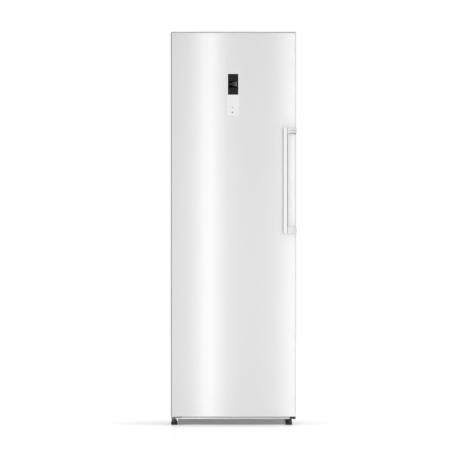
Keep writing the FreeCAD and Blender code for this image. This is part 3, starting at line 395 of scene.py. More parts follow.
class Mesh:
    """One mesh under construction, in metres."""

    def __init__(self, name: str) -> None:
        """Start an empty piece."""
        self.name = name
        self.bm = bmesh.new()

    def bevel(self, edges: Iterable[bmesh.types.BMEdge], radius: float, segments: int,
              clamp: bool = False) -> dict:
        """Round some edges.

        Args:
            edges: The edges.
            radius: Radius of the rounding.
            segments: Steps in it.
            clamp: Keep neighbouring roundings apart.

        Returns:
            The operator's result.
        """
        return bmesh.ops.bevel(self.bm, geom=list(edges), offset=radius, offset_type="OFFSET", segments=segments,
                               profile=0.5, affect="EDGES", material=-1, clamp_overlap=clamp)

    def cut(self, place: Point, normal: Point) -> None:
        """Divide every face that a plane crosses."""
        bmesh.ops.bisect_plane(self.bm, geom=self.bm.verts[:] + self.bm.edges[:] + self.bm.faces[:], dist=1e-6,
                               plane_co=place, plane_no=normal)

    def pull(self, edges: Sequence[bmesh.types.BMEdge], height: float) -> None:
        """Pull edges up into faces.

        Args:
            edges: The edges.
            height: How far they are pulled.
        """
        grown = bmesh.ops.extrude_edge_only(self.bm, edges=edges)["geom"]
        bmesh.ops.translate(self.bm, verts=[g for g in grown if isinstance(g, bmesh.types.BMVert)],
                            vec=(0, 0, height))

    def slab(self, low: Point, high: Point, bevel: float = 0.0, segments: int = 3) -> list[bmesh.types.BMVert]:
        """Add a box with rounded edges.

        Args:
            low: Lowest corner.
            high: Highest corner.
            bevel: Radius of its edges.
            segments: Steps in each rounding.

        Returns:
            The box's vertices.
        """
        size = [b - a for a, b in zip(low, high)]
        middle = [(a + b) / 2 for a, b in zip(low, high)]
        place = Matrix.Translation(middle) @ Matrix.Diagonal((*size, 1))
        verts = bmesh.ops.create_cube(self.bm, size=1.0, matrix=place)["verts"]
        if bevel <= 0:
            return verts
        made = self.bevel({e for v in verts for e in v.link_edges}, bevel, segments)
        return list({v for f in made["faces"] for v in f.verts} | {v for v in verts if v.is_valid})

    def rod(self, start: Point, end: Point, radius: float, sides: int, bevel: float) -> None:
        """Add a closed cylinder between two points.

        Args:
            start: Centre of one end.
            end: Centre of the other end.
            radius: Its radius.
            sides: Faces round it.
            bevel: Radius of the end edges.
        """
        a, b = Vector(start), Vector(end)
        turn = (b - a).to_track_quat("Z", "Y").to_matrix().to_4x4()
        verts = bmesh.ops.create_cone(self.bm, cap_ends=True, segments=sides, radius1=radius, radius2=radius,
                                      depth=(b - a).length, matrix=Matrix.Translation((a + b) / 2) @ turn)["verts"]
        caps = [f for f in {f for v in verts for f in v.link_faces} if len(f.verts) > 4]
        self.bevel({e for f in caps for e in f.edges}, bevel, 2)

    def prism(self, corners: Sequence[Pair], span: Pair, axis: Axis, rounds: Optional[dict[int, float]] = None,
              rim: float = 0.0, segments: int = 5, both_rims: bool = True) -> None:
        """Add a solid of an outline, pulled along an axis.

        Args:
            corners: The outline's corners.
            span: Where it starts and ends along the axis.
            axis: The direction in which it is pulled.
            rounds: Radius of the rounding at each numbered corner.
            rim: Radius of the edges round its two ends.
            segments: Steps in each rounding.
            both_rims: False to round only the end at the lower place.
        """
        old = set(self.bm.verts)
        base = [self.bm.verts.new(axis.point(a, b, span[0])) for a, b in corners]
        grown = bmesh.ops.extrude_face_region(self.bm, geom=[self.bm.faces.new(base)])["geom"]
        moved = [g for g in grown if isinstance(g, bmesh.types.BMVert)]
        bmesh.ops.translate(self.bm, verts=moved, vec=axis.point(0, 0, span[1] - span[0]))
        bmesh.ops.recalc_face_normals(self.bm, faces=list({f for v in base + moved for f in v.link_faces}))
        for index, radius in (rounds or {}).items():
            edge = next(e for e in base[index].link_edges if e.other_vert(base[index]) in moved)
            self.bevel([edge], radius, segments)
        self.bm.normal_update()
        if rim <= 0:
            return
        along = Vector(axis.point(0, 0, 1))
        faces = {f for v in self.bm.verts if v not in old for f in v.link_faces}
        ends = [f for f in faces if abs(f.normal.dot(along)) > 0.99]
        if not both_rims:
            low = min(f.calc_center_median().dot(along) for f in ends)
            ends = [f for f in ends if f.calc_center_median().dot(along) < low + NEAR]
        self.bevel({e for f in ends for e in f.edges}, rim, 3, clamp=True)

    def stack(self, loops: Sequence[Sequence[Point]], close: bool = True) -> None:
        """Join closed loops of corners, one after the other.

        Args:
            loops: The corners of each loop.
            close: Fill the first and the last loop, or else join the last to the first.
        """
        rings, verts = [], []
        for corners in loops:
            made = [self.bm.verts.new(c) for c in corners]
            verts += made
            rings.append([self.bm.edges.new((a, b)) for a, b in zip(made, made[1:] + made[:1])])
        for first, second in zip(rings, rings[1:] if close else rings[1:] + rings[:1]):
            bmesh.ops.bridge_loops(self.bm, edges=first + second)
        if close:
            for ring in (rings[0], rings[-1]):
                bmesh.ops.contextual_create(self.bm, geom=ring)
        bmesh.ops.recalc_face_normals(self.bm, faces=list({f for v in verts for f in v.link_faces}))

    def ring(self, x: Pair, z: Pair, y: float, section: Iterable[Pair]) -> None:
        """Add a ring with square corners round an upright rectangle.

        Args:
            x: The rectangle's range sideways.
            z: Its height range.
            y: Its depth.
            section: Inset and added depth of each line of the ring's section.
        """
        self.stack([[(a, y + out, b) for a, b in quad(inside(x, inset), inside(z, inset))]
                    for inset, out in section], close=False)

    def bead(self, a: Pair, b: Pair, section: Iterable[Point], axis: Axis = Axis.Y) -> None:
        """Add a ring with rounded corners round a rectangle.

        Args:
            a: The rectangle's first range.
            b: Its second range.
            section: Inset, place along the axis and corner radius of each line of the ring's section.
            axis: The rectangle's normal.
        """
        loops = []
        for inset, along, radius in section:
            corners = quad(inside(a, inset + radius), inside(b, inset + radius))
            loops.append([])
            for (ca, cb), start in zip(corners[2:] + corners[:2], (0, 90, 180, 270)):
                for step in range(7):
                    turn = math.radians(start + 15 * step)
                    loops[-1].append(axis.point(ca + radius * math.cos(turn), cb + radius * math.sin(turn), along))
        self.stack(loops, close=False)

    def lathe(self, outline: Sequence[Pair], centre: Point, axis: Point = (0, 0, 1), steps: int = 32) -> None:
        """Add a turned solid.

        Args:
            outline: Radius and height pairs, starting and ending on the axis.
            centre: Where height 0 is.
            axis: Direction of the height.
            steps: Faces round it.
        """
        turn = Vector(axis).to_track_quat("Z", "Y").to_matrix().to_4x4()
        old = set(self.bm.verts)
        verts = [self.bm.verts.new((r, 0, h)) for r, h in outline]
        edges = [self.bm.edges.new(pair) for pair in zip(verts, verts[1:])]
        bmesh.ops.spin(self.bm, geom=verts + edges, cent=(0, 0, 0), axis=(0, 0, 1), angle=math.tau, steps=steps,
                       use_merge=True, dvec=(0, 0, 0))
        bmesh.ops.remove_doubles(self.bm, verts=[v for v in self.bm.verts if v not in old], dist=1e-6)
        made = [v for v in self.bm.verts if v not in old]
        bmesh.ops.recalc_face_normals(self.bm, faces=list({f for v in made for f in v.link_faces}))
        bmesh.ops.transform(self.bm, matrix=Matrix.Translation(centre) @ turn, verts=made)

    def finish(self, finish: Finish, body: str, replaces: Sequence[str] = (),
               smooth: float = 35.0) -> bpy.types.Object:
        """Turn the mesh into a dressed and shaded piece on its body.

        Args:
            finish: The surface finish.
            body: The CAD body that carries it.
            replaces: CAD nodes that it stands for.
            smooth: Angle in degrees under which edges are shaded smooth.

        Returns:
            The new object.
        """
        mesh = bpy.data.meshes.new(self.name)
        self.bm.to_mesh(mesh)
        self.bm.free()
        piece = bpy.data.objects.new(self.name, mesh)
        bpy.context.scene.collection.objects.link(piece)
        finish.dress(piece)
        mesh.shade_smooth()
        mesh.set_sharp_from_angle(angle=math.radians(smooth))
        piece.modifiers.new("even_shading", "WEIGHTED_NORMAL").keep_sharp = True
        if replaces:
            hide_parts(*replaces)
        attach(piece, body)
        log.info("%s on %s: %d faces", piece.name, body, len(mesh.polygons))
        return piece


def thicken(piece: bpy.types.Object, sheet: float) -> None:
    """Give a bare sheet its thickness, inwards, before its shading is evened.

    Args:
        piece: The sheet, with its shading modifier on it.
        sheet: Its thickness.
    """
    thick = piece.modifiers.new("sheet_thickness", "SOLIDIFY")
    thick.thickness = sheet
    thick.offset = -1
    piece.modifiers.move(1, 0)


def eased(node: str, finish: Finish, width: float, segments: int = 2) -> None:
    """A copy of a CAD node with its hard edges rounded, in the node's place.

    Args:
        node: The CAD node.
        finish: The surface finish.
        width: Radius of the rounded edges, in metres.
        segments: Steps in each rounding.
    """
    source = frame["nodes"][node]
    shape = Mesh(f"{node}_finished")
    shape.bm.from_mesh(source.data)
    bmesh.ops.remove_doubles(shape.bm, verts=shape.bm.verts, dist=WELD)
    bmesh.ops.dissolve_limit(shape.bm, angle_limit=math.radians(0.5), verts=shape.bm.verts, edges=shape.bm.edges)
    sharp = [e for e in shape.bm.edges if e.is_manifold and e.calc_face_angle(0.0) > math.radians(30.0)]
    shape.bevel(sharp, width, segments, clamp=True)
    shape.finish(finish, source["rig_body"], [node], smooth=50.0)


# ---------------------------------------------------------------- studio

@dataclass
class Studio:
    """White studio: camera, floor, surrounding light and two tall strip lamps in front of the door."""

    aim: Point = (-0.0043, -0.312, 0.916)
    distance: float = 40.0
    frame_width: float = 2.2097
    sensor: float = 36.0
    strip_gap: float = 1.5
    strips: Sequence[Point] = ((-0.2154, 0.13, 4.8), (0.5396, 0.14, 4.2))
    strip_z: Pair = (-0.5, 2.3)
    room_level: float = 0.80
    left_level: float = 0.54
    floor_size: float = 60.0
    floor_lift: float = 0.40
    floor_mirror: float = 0.22

    def build(self) -> None:
        """Set up everything that isn't part of the object."""
        bpy.context.scene.view_settings.view_transform = "Standard"
        self._camera()
        self._world()
        self._floor()
        for index, (x, width, level) in enumerate(self.strips):
            self._strip(f"strip_lamp_{index + 1}", x, width, level)
        log.info("studio: camera %.1f m away, %d strip lamps", self.distance, len(self.strips))

    def _camera(self) -> None:
        """The camera, level and straight in front of the door."""
        lens = bpy.data.cameras.new("camera")
        lens.sensor_width = self.sensor
        lens.lens = self.sensor * self.distance / self.frame_width
        lens.clip_end = 200.0
        camera = bpy.data.objects.new("camera", lens)
        camera.location = (self.aim[0], self.aim[1] - self.distance, self.aim[2])
        camera.rotation_euler = (math.pi / 2, 0, 0)
        bpy.context.scene.collection.objects.link(camera)
        bpy.context.scene.camera = camera

    def _world(self) -> None:
        """White to the eye and in reflections, and a plain level that is lower on the left as light."""
        world = bpy.data.worlds.new("surroundings")
        world.use_nodes = True
        bpy.context.scene.world = world
        net = Network(world.node_tree)
        sideways = net.node("ShaderNodeSeparateXYZ", Vector=net.node("ShaderNodeTexCoord", output="Generated"))
        level = (sideways + 0.75).clip() * (self.room_level - self.left_level) + self.left_level
        camera, glossy, through = (net.node("ShaderNodeLightPath", output=f"Is {name} Ray")
                                   for name in ("Camera", "Glossy", "Transmission"))
        seen = (camera + glossy + through).clip()
        net.node("ShaderNodeOutputWorld", Surface=net.node("ShaderNodeBackground", Color=(1, 1, 1, 1),
                                                           Strength=level * (1 - seen) + seen))

    def _floor(self) -> None:
        """A pale floor that keeps the contact shadow; its glow for the camera fades out near the object, so a
        painted shadow darkens the floor round it.
        """
        shape = bmesh.new()
        bmesh.ops.create_grid(shape, x_segments=1, y_segments=1, size=self.floor_size / 2)
        mesh = bpy.data.meshes.new("studio_floor")
        shape.to_mesh(mesh)
        shape.free()
        floor = bpy.data.objects.new("studio_floor", mesh)
        bpy.context.scene.collection.objects.link(floor)
        made = bpy.data.materials.new("studio_floor")
        made.use_nodes = True
        net = Network(made.node_tree)
        camera_ray = net.node("ShaderNodeLightPath", output="Is Camera Ray")
        # The camera's glow fades to none within about half a metre of the object's middle: painted shadow round
        # the object, on top of its real contact shadow.
        wide = net.node("ShaderNodeVectorMath", {"operation": "MULTIPLY"}, n0=net.position(), n1=(1.5, 1, 0))
        away = net.node("ShaderNodeVectorMath", {"operation": "LENGTH"}, "Value", n0=wide)
        lift = net.mix(camera_ray * away.above(0.5, 0.6), (0, 0, 0), (self.floor_lift,) * 3)
        matt = net.node("ShaderNodeBsdfPrincipled", Base_Color=(0.97, 0.97, 0.97, 1), Roughness=1.0,
                        Specular_IOR_Level=0.0, Emission_Color=lift, Emission_Strength=1.0)
        mirror = net.node("ShaderNodeBsdfGlossy", Color=(1, 1, 1, 1), Roughness=0.12)
        net.node("ShaderNodeOutputMaterial",
                 Surface=net.node("ShaderNodeMixShader", n0=self.floor_mirror, n1=matt, n2=mirror))
        mesh.materials.append(made)
        floor.visible_glossy = False
        floor.visible_shadow = False

    def _strip(self, name: str, x: float, width: float, level: float) -> None:
        """A tall soft lamp that shows as an upright band in the door's gloss.

        Args:
            name: The lamp's name.
            x: Its place sideways.
            width: Its width.
            level: Its radiance.
        """
        low, high = self.strip_z
        lamp = bpy.data.lights.new(name, "AREA")
        lamp.shape = "RECTANGLE"
        lamp.size, lamp.size_y = width, high - low
        lamp.energy = level * math.pi * width * (high - low)
        made = bpy.data.objects.new(name, lamp)
        made.location = (x, self.aim[1] - self.strip_gap, (high + low) / 2)
        made.rotation_euler = (math.pi / 2, 0, 0)
        made.visible_camera = False
        bpy.context.scene.collection.objects.link(made)


# ---------------------------------------------------------------- door

@dataclass
class DoorShell:
    """The convex painted door sheet, its inner lining and its seal."""

    half: float = 0.2975
    edge_y: float = -0.300
    apex_y: float = -0.312
    back_y: float = -0.250
    low: float = 0.0425
    high: float = 1.8655
    side_high: float = 1.845
    lip_y: float = -0.292
    hem: float = 0.014
    sheet: float = 0.0008
    corner: float = 0.0045
    trim: float = 0.0012
    pocket_x: Pair = (-0.030, 0.026)
    pocket_z: Pair = (1.472, 1.674)
    lining_z: Pair = (0.061, 1.828)
    raised_half: float = 0.205
    raised_z: Pair = (0.150, 1.760)
    raised_y: float = -0.225
    rib_inset: Pair = (0.055, 0.16)
    seal_half: float = 0.283
    seal_z: Pair = (0.076, 1.824)
    seal_section: Sequence[Pair] = tuple(mm(
        (0, 0), (0, 1.2), (2.2, 2.6), (0.4, 4), (1.2, 6.2), (1.2, 7.8), (2, 8.4), (14, 8.4), (14.8, 7.8),
        (14.8, 6.2), (15.6, 4), (13.8, 2.6), (16, 1.2), (16, 0)))

    def build(self) -> None:
        """Make the door's sheet, lining and seal."""
        self._sheet()
        self._edge_strip()
        self._lining()
        self._foam()
        shape = Mesh("door_seal")
        shape.ring((-self.seal_half, self.seal_half), self.seal_z, self.back_y + 0.0014, self.seal_section)
        shape.finish(SEAL, "door", ["door_gasket"], smooth=40)

    def _sheet(self) -> None:
        """One sheet, bent round the front, with soft vertical corners and hems behind."""
        rise = self.edge_y - self.apex_y
        radius = (self.half ** 2 + rise ** 2) / (2 * rise)
        shape = Mesh("door_sheet")
        bm = shape.bm
        left = bm.verts.new((-self.half, self.edge_y, self.low))
        bmesh.ops.spin(bm, geom=[left], cent=(0, self.apex_y + radius, self.low), axis=(0, 0, 1), dvec=(0, 0, 0),
                       angle=2 * math.asin(self.half / radius), steps=96)
        bmesh.ops.remove_doubles(bm, verts=bm.verts, dist=1e-7)
        for side in (-1, 1):
            edge = Vector((side * self.half, self.edge_y, self.low))
            end = min(bm.verts, key=lambda v: (v.co - edge).length)
            for x in (self.half, self.half - self.hem):
                end = bmesh.ops.extrude_vert_indiv(bm, verts=[end])["verts"][0]
                end.co = (side * x, self.back_y, self.low)
        shape.pull(bm.edges[:], self.high - self.low)
        bmesh.ops.recalc_face_normals(bm, faces=bm.faces)
        if min(bm.faces, key=lambda f: f.calc_center_median().y).normal.y > 0:
            bmesh.ops.reverse_faces(bm, faces=bm.faces)
        for y, rounding in ((self.edge_y, self.corner), (self.back_y, 0.0015)):
            folds = [e for e in bm.edges if all(abs(abs(v.co.x) - self.half) < NEAR and abs(v.co.y - y) < NEAR
                                                for v in e.verts)]
            shape.bevel(folds, rounding, 6, clamp=True)
        for x in self.pocket_x:
            shape.cut((x, 0, 0), (1, 0, 0))
        shape.cut((0, self.lip_y, 0), (0, 1, 0))
        for z in (*self.pocket_z, self.side_high, *inside((self.low, self.high), self.trim)):
            shape.cut((0, 0, z), (0, 0, 1))
        bmesh.ops.delete(bm, geom=[f for f in bm.faces if self._open(f.calc_center_median())], context="FACES")
        for v in bm.verts:
            if v.co.y < self.lip_y and not self.low + NEAR <= v.co.z <= self.high - NEAR:
                v.co.y += 0.0005
        thicken(shape.finish(WHITE_DOOR, "door", ["door_skin"], smooth=60), self.sheet)

    def _edge_strip(self) -> None:
        """A thin dark grey strip round the upright corner on the hinge side: painted shade of that edge."""
        shape = Mesh("door_painted_shade_strip")
        x, y, thick = -self.half - 0.0002, self.edge_y - 0.0004, 0.0014
        deep, wide = y + self.corner, x + self.corner
        shape.prism([(x, deep), (x, y), (wide, y), (wide, y + thick), (x + thick, y + thick), (x + thick, deep)],
                    inside((self.low, self.high), 0.0015), Axis.Z,
                    {1: self.corner - 0.0002, 4: self.corner - thick - 0.0004}, 0.0, 8)
        shape.finish(PAINTED_SHADE_GREY, "door", smooth=50)

    def _open(self, middle: Vector) -> bool:
        """Tell where the sheet is cut away: behind the panel, and over the shelf of the top cap.

        Args:
            middle: The middle of a face.

        Returns:
            True where the face goes.
        """
        pocket = (self.pocket_x[0] < middle.x < self.pocket_x[1] and middle.y < -0.3
                  and self.pocket_z[0] < middle.z < self.pocket_z[1])
        return pocket or (middle.z > self.side_high and middle.y > self.lip_y)

    def _lining(self) -> None:
        """Formed lining with a raised middle, a ridge round it and shallow ribs."""
        shape = Mesh("door_lining")
        flange, (low, high) = self.half - 0.006, self.lining_z
        shape.slab((-flange, self.back_y + 0.0001, low), (flange, self.back_y + 0.0015, high), 0.0006, 2)
        x, z, y = (-self.raised_half, self.raised_half), self.raised_z, self.raised_y
        shape.prism(quad(x, z), (self.back_y + 0.0005, y), Axis.Y, every(0.022), 0.0, 8)
        face = max((f for f in shape.bm.faces if abs(f.calc_center_median().y - y) < NEAR),
                   key=lambda f: f.calc_area())
        shape.bevel(face.edges, 0.008, 5)
        shape.bead(inside(x, 0.016), inside(z, 0.016), half_round(8, 0.0, 0.007, y - 0.001, 0.006, 0.020, -0.6))
        (left, right), (first, last) = inside(x, self.rib_inset[0]), inside(z, self.rib_inset[1])
        for step in range(6):
            middle = first + step * (last - first) / 5
            shape.slab((left, y - 0.001, middle - 0.007), (right, y + 0.0025, middle + 0.007), 0.0024, 4)
        shape.finish(LINER, "door", ["door_liner"], smooth=50)

    def _foam(self) -> None:
        """The foam core, drawn in a little where the sheet's and the lining's corners are round."""
        shape = Mesh("door_foam")
        shape.bm.from_mesh(frame["nodes"]["door_insulation"].data)
        bmesh.ops.remove_doubles(shape.bm, verts=shape.bm.verts, dist=WELD)
        middle = sum(self.raised_z) / 2
        for v in shape.bm.verts:
            if v.co.y > self.back_y + 0.005:
                v.co.x *= 0.955
                v.co.z = middle + (v.co.z - middle) * 0.988
                v.co.y -= 0.003
            elif abs(v.co.x) > self.half - 0.006 and v.co.y < self.edge_y + 0.004:
                v.co.x -= math.copysign(0.0025, v.co.x)
                v.co.y += 0.0010
        shape.finish(FOAM, "door", ["door_insulation"])


@dataclass
class Handle:
    """Upright bar with a dark grey strip down its right side, painted shade of that side, and a swept arm at each
    end in a darker white, also painted shade.
    """

    bar_x: Pair = (0.2392, 0.259)
    bar_z: Pair = (0.911, 1.413)
    front_y: float = -0.350
    depth: float = 0.014
    strip: float = 0.0042
    outer_x: float = 0.3005
    reach: float = 0.032
    arm_tall: float = 0.031
    arm_back: float = 0.0012
    root_y: float = -0.278
    door_y: float = -0.303
    half: float = 0.2975
    arch: float = 0.0035
    arc_x: Pair = (0.2650, 0.2965)

    def build(self) -> None:
        """Make the bar, its strip and both arms."""
        y = (self.front_y, self.front_y + self.depth)
        bar = Mesh("handle_bar")
        x1 = self.bar_x[1] - self.strip
        bar.prism(quad((self.bar_x[0], x1), y), self.bar_z, Axis.Z, every(0.0045, (3, 0)), 0.0016, 6)
        low = self._arm("handle_arm_low", self.bar_z[0], False)
        high = self._arm("handle_arm_high", self.bar_z[1] - self.arm_tall, True)
        bar.finish(HANDLE_WHITE, "door", ["handle"], smooth=50)
        # The arms take the darker copy of the handle's white: painted shade.
        low.finish(ARM_PAINTED_SHADE, "door", smooth=50)
        high.finish(ARM_PAINTED_SHADE, "door", smooth=50)
        self._arcs()
        # A dark grey strip down the bar's right side: painted shade of that side.
        strip = Mesh("handle_painted_shade_strip")
        strip.prism(quad((x1 - 0.0002, self.bar_x[1]), inside(y, 0.0006)), inside(self.bar_z, 0.001), Axis.Z,
                    every(0.0032, (1, 2)), 0.0006, 6)
        strip.finish(PAINTED_SHADE_GREY, "door", smooth=50)

    def _arcs(self) -> None:
        """A black arch under the upper arm, painted shadow of its underside, with its plug, and a finer grey arch
        above it, painted shade of the arm's rounding.
        """
        base, (left, right), half = self.bar_z[1] - self.arm_tall, self.arc_x, 8
        # Both arcs are painted: the black one is painted shadow under the arm, the grey one painted shade of its
        # rounding.
        for name, up, tall, finish in (("arm_painted_shadow_arc", 0.0010, 0.0022, BLACK_PLASTIC),
                                       ("arm_painted_shade_arc", 0.0150, 0.0014, PAINTED_SHADE_GREY)):
            loops = []
            for step in range(2 * half + 1):
                x = left + (right - left) * step / (2 * half)
                y, z = self._arm_front(x), base + up + 0.0040 * (1 - ((step - half) / half) ** 2)
                loops.append([(x, b, c) for b, c in ((y - 0.0004, z), (y + 0.0030, z), (y + 0.0030, z + tall),
                                                     (y - 0.0004, z + tall))])
            seam = Mesh(name)
            seam.stack(loops)
            seam.finish(finish, "door", smooth=50)
        plug = Mesh("arm_plug")
        x = right - 0.0020
        lean = math.asin((x - (self.outer_x - self.reach)) / self.reach)
        seat = Vector((x, self._arm_front(x), base + 0.0032))
        out = Vector((math.sin(lean), -math.cos(lean), 0))
        plug.rod(tuple(seat - out * 0.004), tuple(seat + out * 0.0006), 0.0027, 20, 0.0004)
        plug.finish(BLACK_PLASTIC, "door", smooth=50)

    def _arm_front(self, x: float) -> float:
        """Where the arm's front face is at a place sideways."""
        over = max(0.0, x - (self.outer_x - self.reach))
        return self.front_y + self.arm_back + self.reach - math.sqrt(self.reach ** 2 - over ** 2)

    def _arm(self, name: str, z: float, arched: bool) -> Mesh:
        """One arm: from the bar, round in a quarter turn, to the door's side.

        Args:
            name: The piece's name.
            z: Its underside.
            arched: True where the underside rises in an arch between bar and door.

        Returns:
            The arm's mesh.
        """
        arm = Mesh(name)
        front, outer, deep = self.front_y + self.arm_back, self.outer_x, self.depth - 0.0018
        inner, root = outer - deep, self.half - 0.004
        start = self.bar_x[1] - self.strip - 0.003
        corners = [(start, front), (outer, front), (outer, self.root_y), (root, self.root_y),
                   (root, self.door_y), (inner, self.door_y), (inner, front + deep), (start, front + deep)]
        arm.prism(corners, (z, z + self.arm_tall), Axis.Z, {1: self.reach, 6: self.reach - deep}, 0.003, 16)
        if arched:
            x0, x1 = self.bar_x[1] + 0.004, outer
            middle, span = (x0 + x1) / 2, (x1 - x0) / 2
            for place in range(1, 12):
                arm.cut((x0 + place * (x1 - x0) / 12, 0, 0), (1, 0, 0))
            for v in arm.bm.verts:
                across = 1 - min(1.0, abs(v.co.x - middle) / span) ** 2
                share = max(0.0, 1 - (v.co.z - z) / self.arm_tall)
                v.co.z += self.arch * across * share
        return arm


@dataclass
class ControlPanel:
    """White frame, smoked window with a temperature in segments, and the touch keys below it."""

    x: Pair = (-0.032, 0.028)
    z: Pair = (1.470, 1.676)
    glass_x: Pair = (-0.0265, 0.0236)
    glass_z: Pair = (1.5705, 1.6700)
    mask_x: Pair = (-0.0215, 0.0180)
    mask_z: Pair = (1.6035, 1.6370)
    keys_z: Pair = (1.476, 1.563)
    front_y: float = -0.3145
    digits_left: float = -0.0175
    digits_low: float = 1.6115
    digits_tall: float = 0.0205
    key_x: float = -0.0048
    star_z: float = 1.511
    ring_z: float = 1.487
    divider_z: Pair = (1.5600, 1.5608)

    def build(self) -> None:
        """Make the frame, window, digits and keys."""
        self._frame()
        self._pane("display_glass", self.glass_z, WINDOW_BLACK, "display_window")
        mask = Mesh("display_mask")
        mask.slab((self.mask_x[0], self.front_y - 0.00016, self.mask_z[0]),
                  (self.mask_x[1], self.front_y + 0.0003, self.mask_z[1]))
        mask.finish(WINDOW_DEEP, "door")
        self._digits()
        self._pane("key_overlay", self.keys_z, PANEL_WHITE, "key_pad")
        self._marks()

    def _pane(self, name: str, z: Pair, finish: Finish, node: str) -> None:
        """Make one of the two flush panes in the frame.

        Args:
            name: The piece's name.
            z: Its height range.
            finish: Its surface finish.
            node: The CAD node that it stands for.
        """
        pane = Mesh(name)
        pane.slab((self.glass_x[0], self.front_y - 0.0001, z[0]), (self.glass_x[1], -0.312, z[1]), 0.0005, 3)
        pane.finish(finish, "door", [node])

    def _frame(self) -> None:
        """The moulded frame, with its box behind and a lip round the window in a brighter white, a painted
        highlight.
        """
        moulding = Mesh("panel_moulding")
        moulding.prism(quad(self.x, self.z), (self.front_y, -0.3095), Axis.Y, every(0.004), 0.0009, 6,
                       both_rims=False)
        (x0, x1), (z0, z1) = inside(self.x, 0.002), inside(self.z, 0.002)
        moulding.slab((x0, -0.3115, z0), (x1, -0.290, z1), 0.0008)
        moulding.finish(PANEL_WHITE, "door", ["panel_frame"], smooth=50)
        lip = Mesh("window_painted_highlight_lip")
        lip.ring(self.glass_x, self.glass_z, self.front_y,
                 mm((0, 0.2), (-0.4, -0.5), (-1.2, -0.6), (-1.8, -0.3), (-2.2, 0.3)))
        lip.finish(PANEL_PAINTED_HIGHLIGHT, "door", smooth=60)

    def _digits(self) -> None:
        """Seven-segment figures: a minus sign, a one and an eight."""
        shape = Mesh("display_segments")
        wide, thick, gap, narrow = 0.0085, 0.0019, 0.0035, 0.0035
        edge = thick + 0.0002
        low, high = self.digits_low, self.digits_low + self.digits_tall
        middle = (low + high) / 2
        upper, lower = (middle + edge / 2, high - edge), (low + edge, middle - edge / 2)
        for index, segments in enumerate(("g", "bc", "abcdefg")):
            x0 = self.digits_left + index * (wide + gap) - (narrow if index == 1 else 0)
            whole, left, right = (x0, x0 + wide), (x0, x0 + thick), (x0 + wide - thick, x0 + wide)
            places = {"a": (whole, (high - thick, high)), "b": (right, upper), "c": (right, lower),
                      "d": (whole, (low, low + thick)), "e": (left, lower), "f": (left, upper),
                      "g": (whole, (middle - thick / 2, middle + thick / 2))}
            for name in segments:
                x, z = places[name]
                shape.slab((x[0], self.front_y - 0.0003, z[0]), (x[1], self.front_y, z[1]), 0.0001, 1)
        shape.finish(DIGIT_GLOW, "door")

    def _marks(self) -> None:
        """A star, a ring and a bar printed on the keys, and the line above them."""
        marks = Mesh("key_marks")
        y, x, sides = self.front_y - 0.00022, self.key_x, 20
        for turn in range(3):
            verts = marks.slab((x - 0.0036, y, self.star_z - 0.00045),
                               (x + 0.0036, self.front_y, self.star_z + 0.00045))
            bmesh.ops.rotate(marks.bm, verts=verts, cent=(x, 0, self.star_z),
                             matrix=Matrix.Rotation(math.radians(60 * turn), 3, "Y"))
        inner, outer = 0.0021, 0.0031
        loops = []
        for r, depth in ((inner, self.front_y), (inner, y), (outer, y), (outer, self.front_y)):
            loops.append([(x + r * math.cos(math.tau * i / sides), depth,
                           self.ring_z + r * math.sin(math.tau * i / sides)) for i in range(sides)])
        marks.stack(loops, close=False)
        marks.slab((x - 0.0004, y, self.ring_z), (x + 0.0004, self.front_y, self.ring_z + 0.0042))
        marks.finish(KEY_INK, "door")
        faint = Mesh("key_divider")
        faint.slab((x - 0.006, y, self.divider_z[0]), (x + 0.006, self.front_y, self.divider_z[1]))
        faint.finish(SHADE_AND_PRINT_GREY, "door")


# ---------------------------------------------------------------- hinges, feet and base

